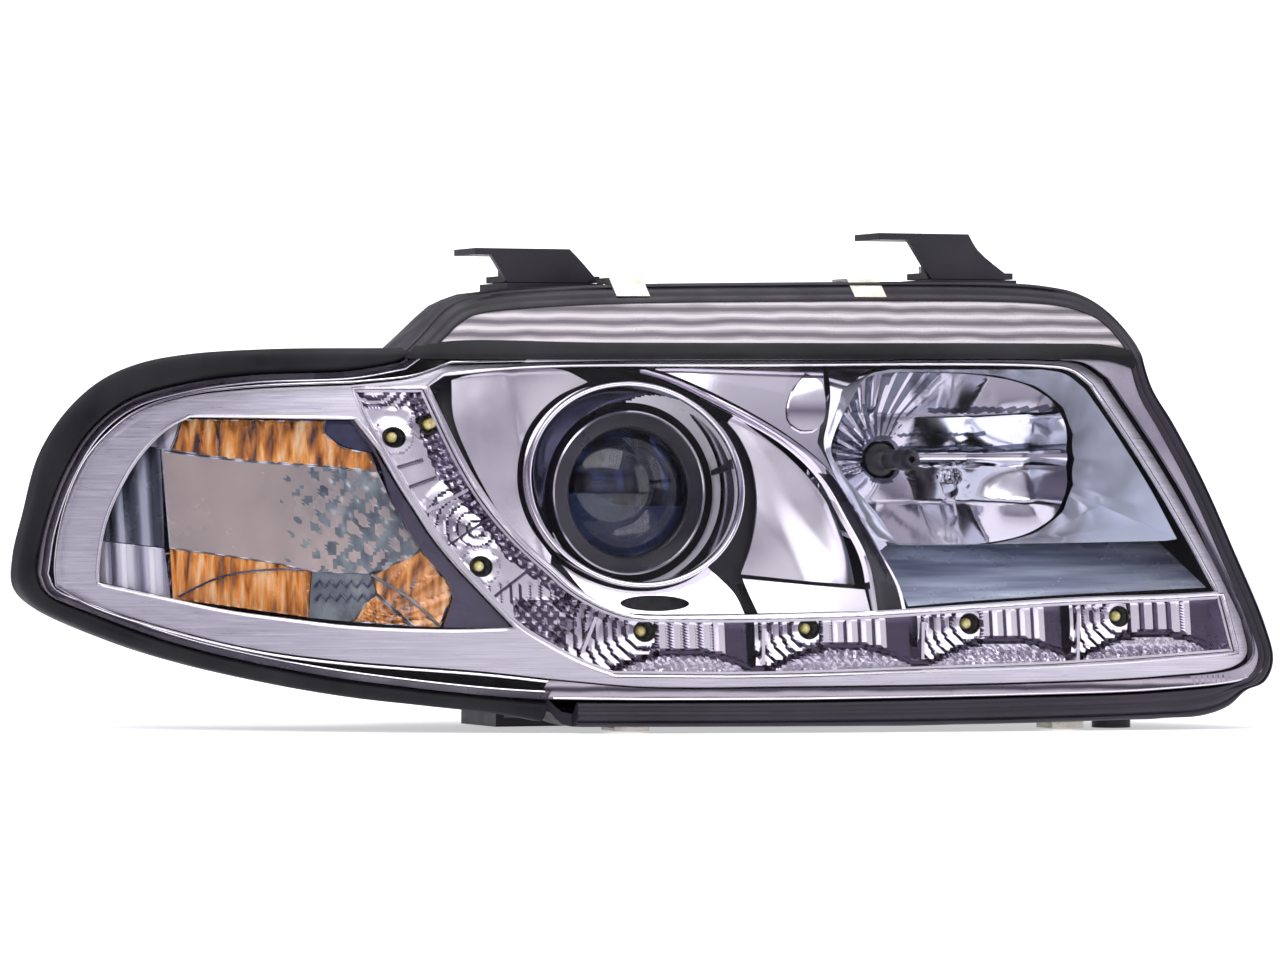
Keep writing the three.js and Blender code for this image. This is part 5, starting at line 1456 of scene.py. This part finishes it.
# ---------------------------------------------------------------- housing's front edge
LIP_INNER = [(-50, 13.6), (50, 13.6), (143, 15), (214, 17), (252, 21.4), (259.6, 26.8), (262, 33.5),
             (259.2, 45), (247.2, 77.5), (235, 110), (223, 137), (215.6, 153), (213, 168),
             (212.4, 178), (207.6, 188.6), (199.4, 193.4), (189, 195.8), (168, 197.2), (60, 196.8),
             (-30, 194.8), (-71, 191.4), (-80, 188.6), (-97, 175.6), (-104, 169.6)]
LIP_OUTER = [(-50, 2.5), (50, 2.5), (143, 3.1), (214, 4.9), (236, 6), (249, 10.4), (257, 17.2),
             (266.4, 21.2), (270.8, 31), (267.8, 47), (255.8, 80), (243.8, 113), (231.8, 141),
             (223.8, 157), (221.2, 170), (220.6, 180), (214.8, 194), (205.8, 201.8), (191, 205.2),
             (168, 206.8), (60, 206.3), (-30, 204.3), (-73, 200.8), (-86.8, 195.3), (-103, 181.3),
             (-113, 173)]


def make_housing_lip():
    """The housing's ribbed front edge, which hooks over the edge of the lens."""
    inner, outer = paired(smooth_run(LIP_INNER, 2), smooth_run(LIP_OUTER, 2), 460)
    ridges = [(0, 1.2), (0.04, -0.5), (0.1, -1.1), (0.2, -1.3), (0.3, -0.9), (0.37, -0.4),
              (0.44, -0.9), (0.54, -1.2), (0.64, -0.9), (0.72, 0.2), (0.79, 1.2), (0.85, 0.6),
              (0.91, 0.9), (0.96, 2), (1, 3.6)]
    rows = []
    for (x0, z0), (x1, z1) in zip(inner, outer):
        section = []
        for share, depth in ridges:
            x, z = lerp(x0, x1, share), lerp(z0, z1, share)
            section.append((x, face(x, min(z, 203)) + depth, z))
        section.append((x1, section[-1][1] + 8, z1))
        section.append((lerp(x0, x1, 0.62), section[9][1] + 8, lerp(z0, z1, 0.62)))
        rows.append(section)
    build("housing_lip", Shape().loft(rows), [MATERIALS["black_plastic"]],
          sharp=60)


# ---------------------------------------------------------------- the housing's back
RIBS = [
    [(62, 84), (62, 168)],
    [(182, 62), (182, 150)],
    [(-84, 78), (-84, 160)],
    [(-124, 60), (-124, 148)],
    [(-60, 36), (36, 36)],
    [(96, 40), (236, 40)],
    [(96, 64), (224, 64)],
    [(-70, 176), (190, 180)],
]
BOSSES = [(62, 176), (-84, 168), (200, 92), (206, 52), (-124, 52), (30, 44)]
SPOKE_TURNS = (20, 70, 110, 160, 200, 250, 290, 340)


def housing_back():
    """Finds how far back the housing's rear surface lies at a place."""
    housing = frame["nodes"]["housing"]
    points = [housing.matrix_world @ v.co for v in housing.data.vertices]
    tree = BVHTree.FromPolygons(points, [tuple(p.vertices) for p in housing.data.polygons])

    def depth_at(x, z):
        start = world(x, 400, z)
        hit, *_ = tree.ray_cast(start, Vector((0, -1, 0)))
        return hit.y / MM + SHIFT_Y if hit else None
    return depth_at


def add_rib(shape, path, depth_at, half=1.1, height=1.7):
    """A moulded rib that follows the surface wherever the surface is smooth."""
    length = math.dist(*path)
    side = ((path[1][1] - path[0][1]) / length * half, (path[0][0] - path[1][0]) / length * half)
    count = max(2, round(length / 2.5))
    rows = []
    for i in range(count + 1):
        x, z = lerp(path[0][0], path[1][0], i / count), lerp(path[0][1], path[1][1], i / count)
        y = depth_at(x, z)
        broken = y is None or (rows and abs(y - rows[-1][0][1] - 1) > 2.6)
        if not broken:
            profile = ((-1.3, -1), (-1, height * 0.7), (-0.5, height), (0.5, height), (1, height * 0.7),
                       (1.3, -1))
            rows.append([(x + u * side[0], y + rise, z + u * side[1]) for u, rise in profile])
        if (broken or i == count) and len(rows) > 3:
            shape.loft(rows)
        if broken:
            rows = []


def make_back_details():
    depth_at = housing_back()
    shape = Shape()
    for path in RIBS:
        add_rib(shape, path, depth_at)
    for (cx, cz), near, far in ((PROJECTOR, 60, 72), (HIGH_BEAM, 47, 57)):
        for turn in SPOKE_TURNS:
            c, s = math.cos(math.radians(turn)), math.sin(math.radians(turn))
            add_rib(shape, [(cx + near * c, cz + near * s), (cx + far * c, cz + far * s)], depth_at)
    for x, z in BOSSES:
        y = depth_at(x, z)
        shape.lathe([(1.7, y + 4), (4, y + 4), (4.6, y + 3.5), (5.4, y - 1), (1.7, y - 1)], x, z, 36)
    build("housing_ribs", shape, [MATERIALS["black_plastic"]], bevel=0.25)


# ---------------------------------------------------------------- camera, light and floor
def add_camera():
    across = Vector((math.cos(CAMERA_TURN), -math.sin(CAMERA_TURN), 0))
    ahead = Vector((math.sin(CAMERA_TURN), math.cos(CAMERA_TURN), 0))
    data = bpy.data.cameras.new("camera")
    data.sensor_width = 36
    data.lens = 36 * CAMERA_DISTANCE / VIEW_WIDTH
    camera = bpy.data.objects.new("camera", data)
    bpy.context.scene.collection.objects.link(camera)
    camera.location = across * VIEW_CENTRE[0] + Vector((0, 0, VIEW_CENTRE[1])) - ahead * CAMERA_DISTANCE
    camera.rotation_euler = (math.pi / 2, 0, -CAMERA_TURN)
    bpy.context.scene.camera = camera


def add_world():
    """A white room for the camera; a studio with a few dark bands for reflections and light."""
    world_data = bpy.data.worlds.new("studio")
    world_data.use_nodes = True
    nodes, links = world_data.node_tree.nodes, world_data.node_tree.links
    where = nodes.new("ShaderNodeTexCoord")
    split = nodes.new("ShaderNodeSeparateXYZ")
    links.new(where.outputs["Generated"], split.inputs["Vector"])
    ramp = nodes.new("ShaderNodeValToRGB")
    set_stops(ramp, [(0.0, (0.4, 0.38, 0.45)), (0.42, (0.6, 0.57, 0.66)), (0.48, (0.16, 0.14, 0.21)),
                     (0.52, (0.7, 0.67, 0.75)), (0.62, (0.86, 0.84, 0.9)), (0.7, (0.22, 0.2, 0.28)),
                     (0.77, (0.75, 0.73, 0.82)), (1.0, (1, 1, 1))])
    sides = nodes.new("ShaderNodeValToRGB")
    set_stops(sides, [(0.0, (0.8, 0.8, 0.86)), (0.09, (0.24, 0.22, 0.3)), (0.15, (1, 1, 1)),
                      (0.6, (1, 1, 1)), (0.69, (0.3, 0.28, 0.36)), (0.76, (1, 1, 1)),
                      (1.0, (0.7, 0.7, 0.8))])
    for axis, bands in (("Z", ramp), ("X", sides)):
        spread = nodes.new("ShaderNodeMapRange")
        spread.inputs["From Min"].default_value = -1
        spread.inputs["From Max"].default_value = 1
        links.new(split.outputs[axis], spread.inputs["Value"])
        links.new(spread.outputs["Result"], bands.inputs["Fac"])
    both = nodes.new("ShaderNodeMix")
    both.data_type = "RGBA"
    both.blend_type = "MULTIPLY"
    both.inputs["Factor"].default_value = 1
    links.new(ramp.outputs["Color"], both.inputs["A"])
    links.new(sides.outputs["Color"], both.inputs["B"])
    back = nodes["Background"]
    links.new(both.outputs["Result"], back.inputs["Color"])
    back.inputs["Strength"].default_value = 0.85
    white = nodes.new("ShaderNodeBackground")
    white.inputs["Strength"].default_value = 2.0
    path = nodes.new("ShaderNodeLightPath")
    mix = nodes.new("ShaderNodeMixShader")
    links.new(path.outputs["Is Camera Ray"], mix.inputs["Fac"])
    links.new(back.outputs["Background"], mix.inputs[1])
    links.new(white.outputs["Background"], mix.inputs[2])
    links.new(mix.outputs["Shader"], nodes["World Output"].inputs["Surface"])
    bpy.context.scene.world = world_data


def add_area_light(name, location, size, power, target=(0, 0, 0.1)):
    data = bpy.data.lights.new(name, "AREA")
    data.shape = "RECTANGLE"
    data.size, data.size_y = size
    data.energy = power
    light = bpy.data.objects.new(name, data)
    bpy.context.scene.collection.objects.link(light)
    light.location = location
    light.rotation_euler = (Vector(target) - Vector(location)).to_track_quat("-Z", "Y").to_euler()


def add_floor():
    size = 6
    mesh = bpy.data.meshes.new("floor")
    mesh.from_pydata([(-size, -size, 0), (size, -size, 0), (size, size, 0), (-size, size, 0)], [],
                     [(0, 1, 2, 3)])
    material = surface("pale_floor", (0.93, 0.93, 0.94), 0.7)
    shader = material.node_tree.nodes["Principled BSDF"]
    shader.inputs["Emission Color"].default_value = (1, 1, 1, 1)
    shader.inputs["Emission Strength"].default_value = 0.5
    vary(material, "Roughness", noise(material, 6, 2), 0.65, 0.8)
    mesh.materials.append(material)
    floor = bpy.data.objects.new("floor", mesh)
    bpy.context.scene.collection.objects.link(floor)
    floor.location.z = -0.0005


def main():
    finish_cad_nodes()
    make_lens()
    make_seals()
    make_inner_bezel()
    make_projector_bezel()
    make_projector_ring()
    make_projector()
    make_arc_rim()
    make_high_beam_surround()
    make_high_beam()
    make_led_tray()
    make_leds()
    make_turn_signal()
    make_turn_reflector()
    make_bulbs()
    make_housing_lip()
    make_back_details()
    add_camera()
    add_world()
    add_area_light("key", (-0.6, -1.1, 1.7), (1.8, 1.2), 16)
    add_area_light("fill", (1.3, -1.3, 0.7), (1.4, 1.2), 6)
    add_area_light("top", (0, 0.3, 1.6), (1.6, 1.4), 10)
    add_floor()
    bpy.context.scene.view_settings.view_transform = "Standard"


main()
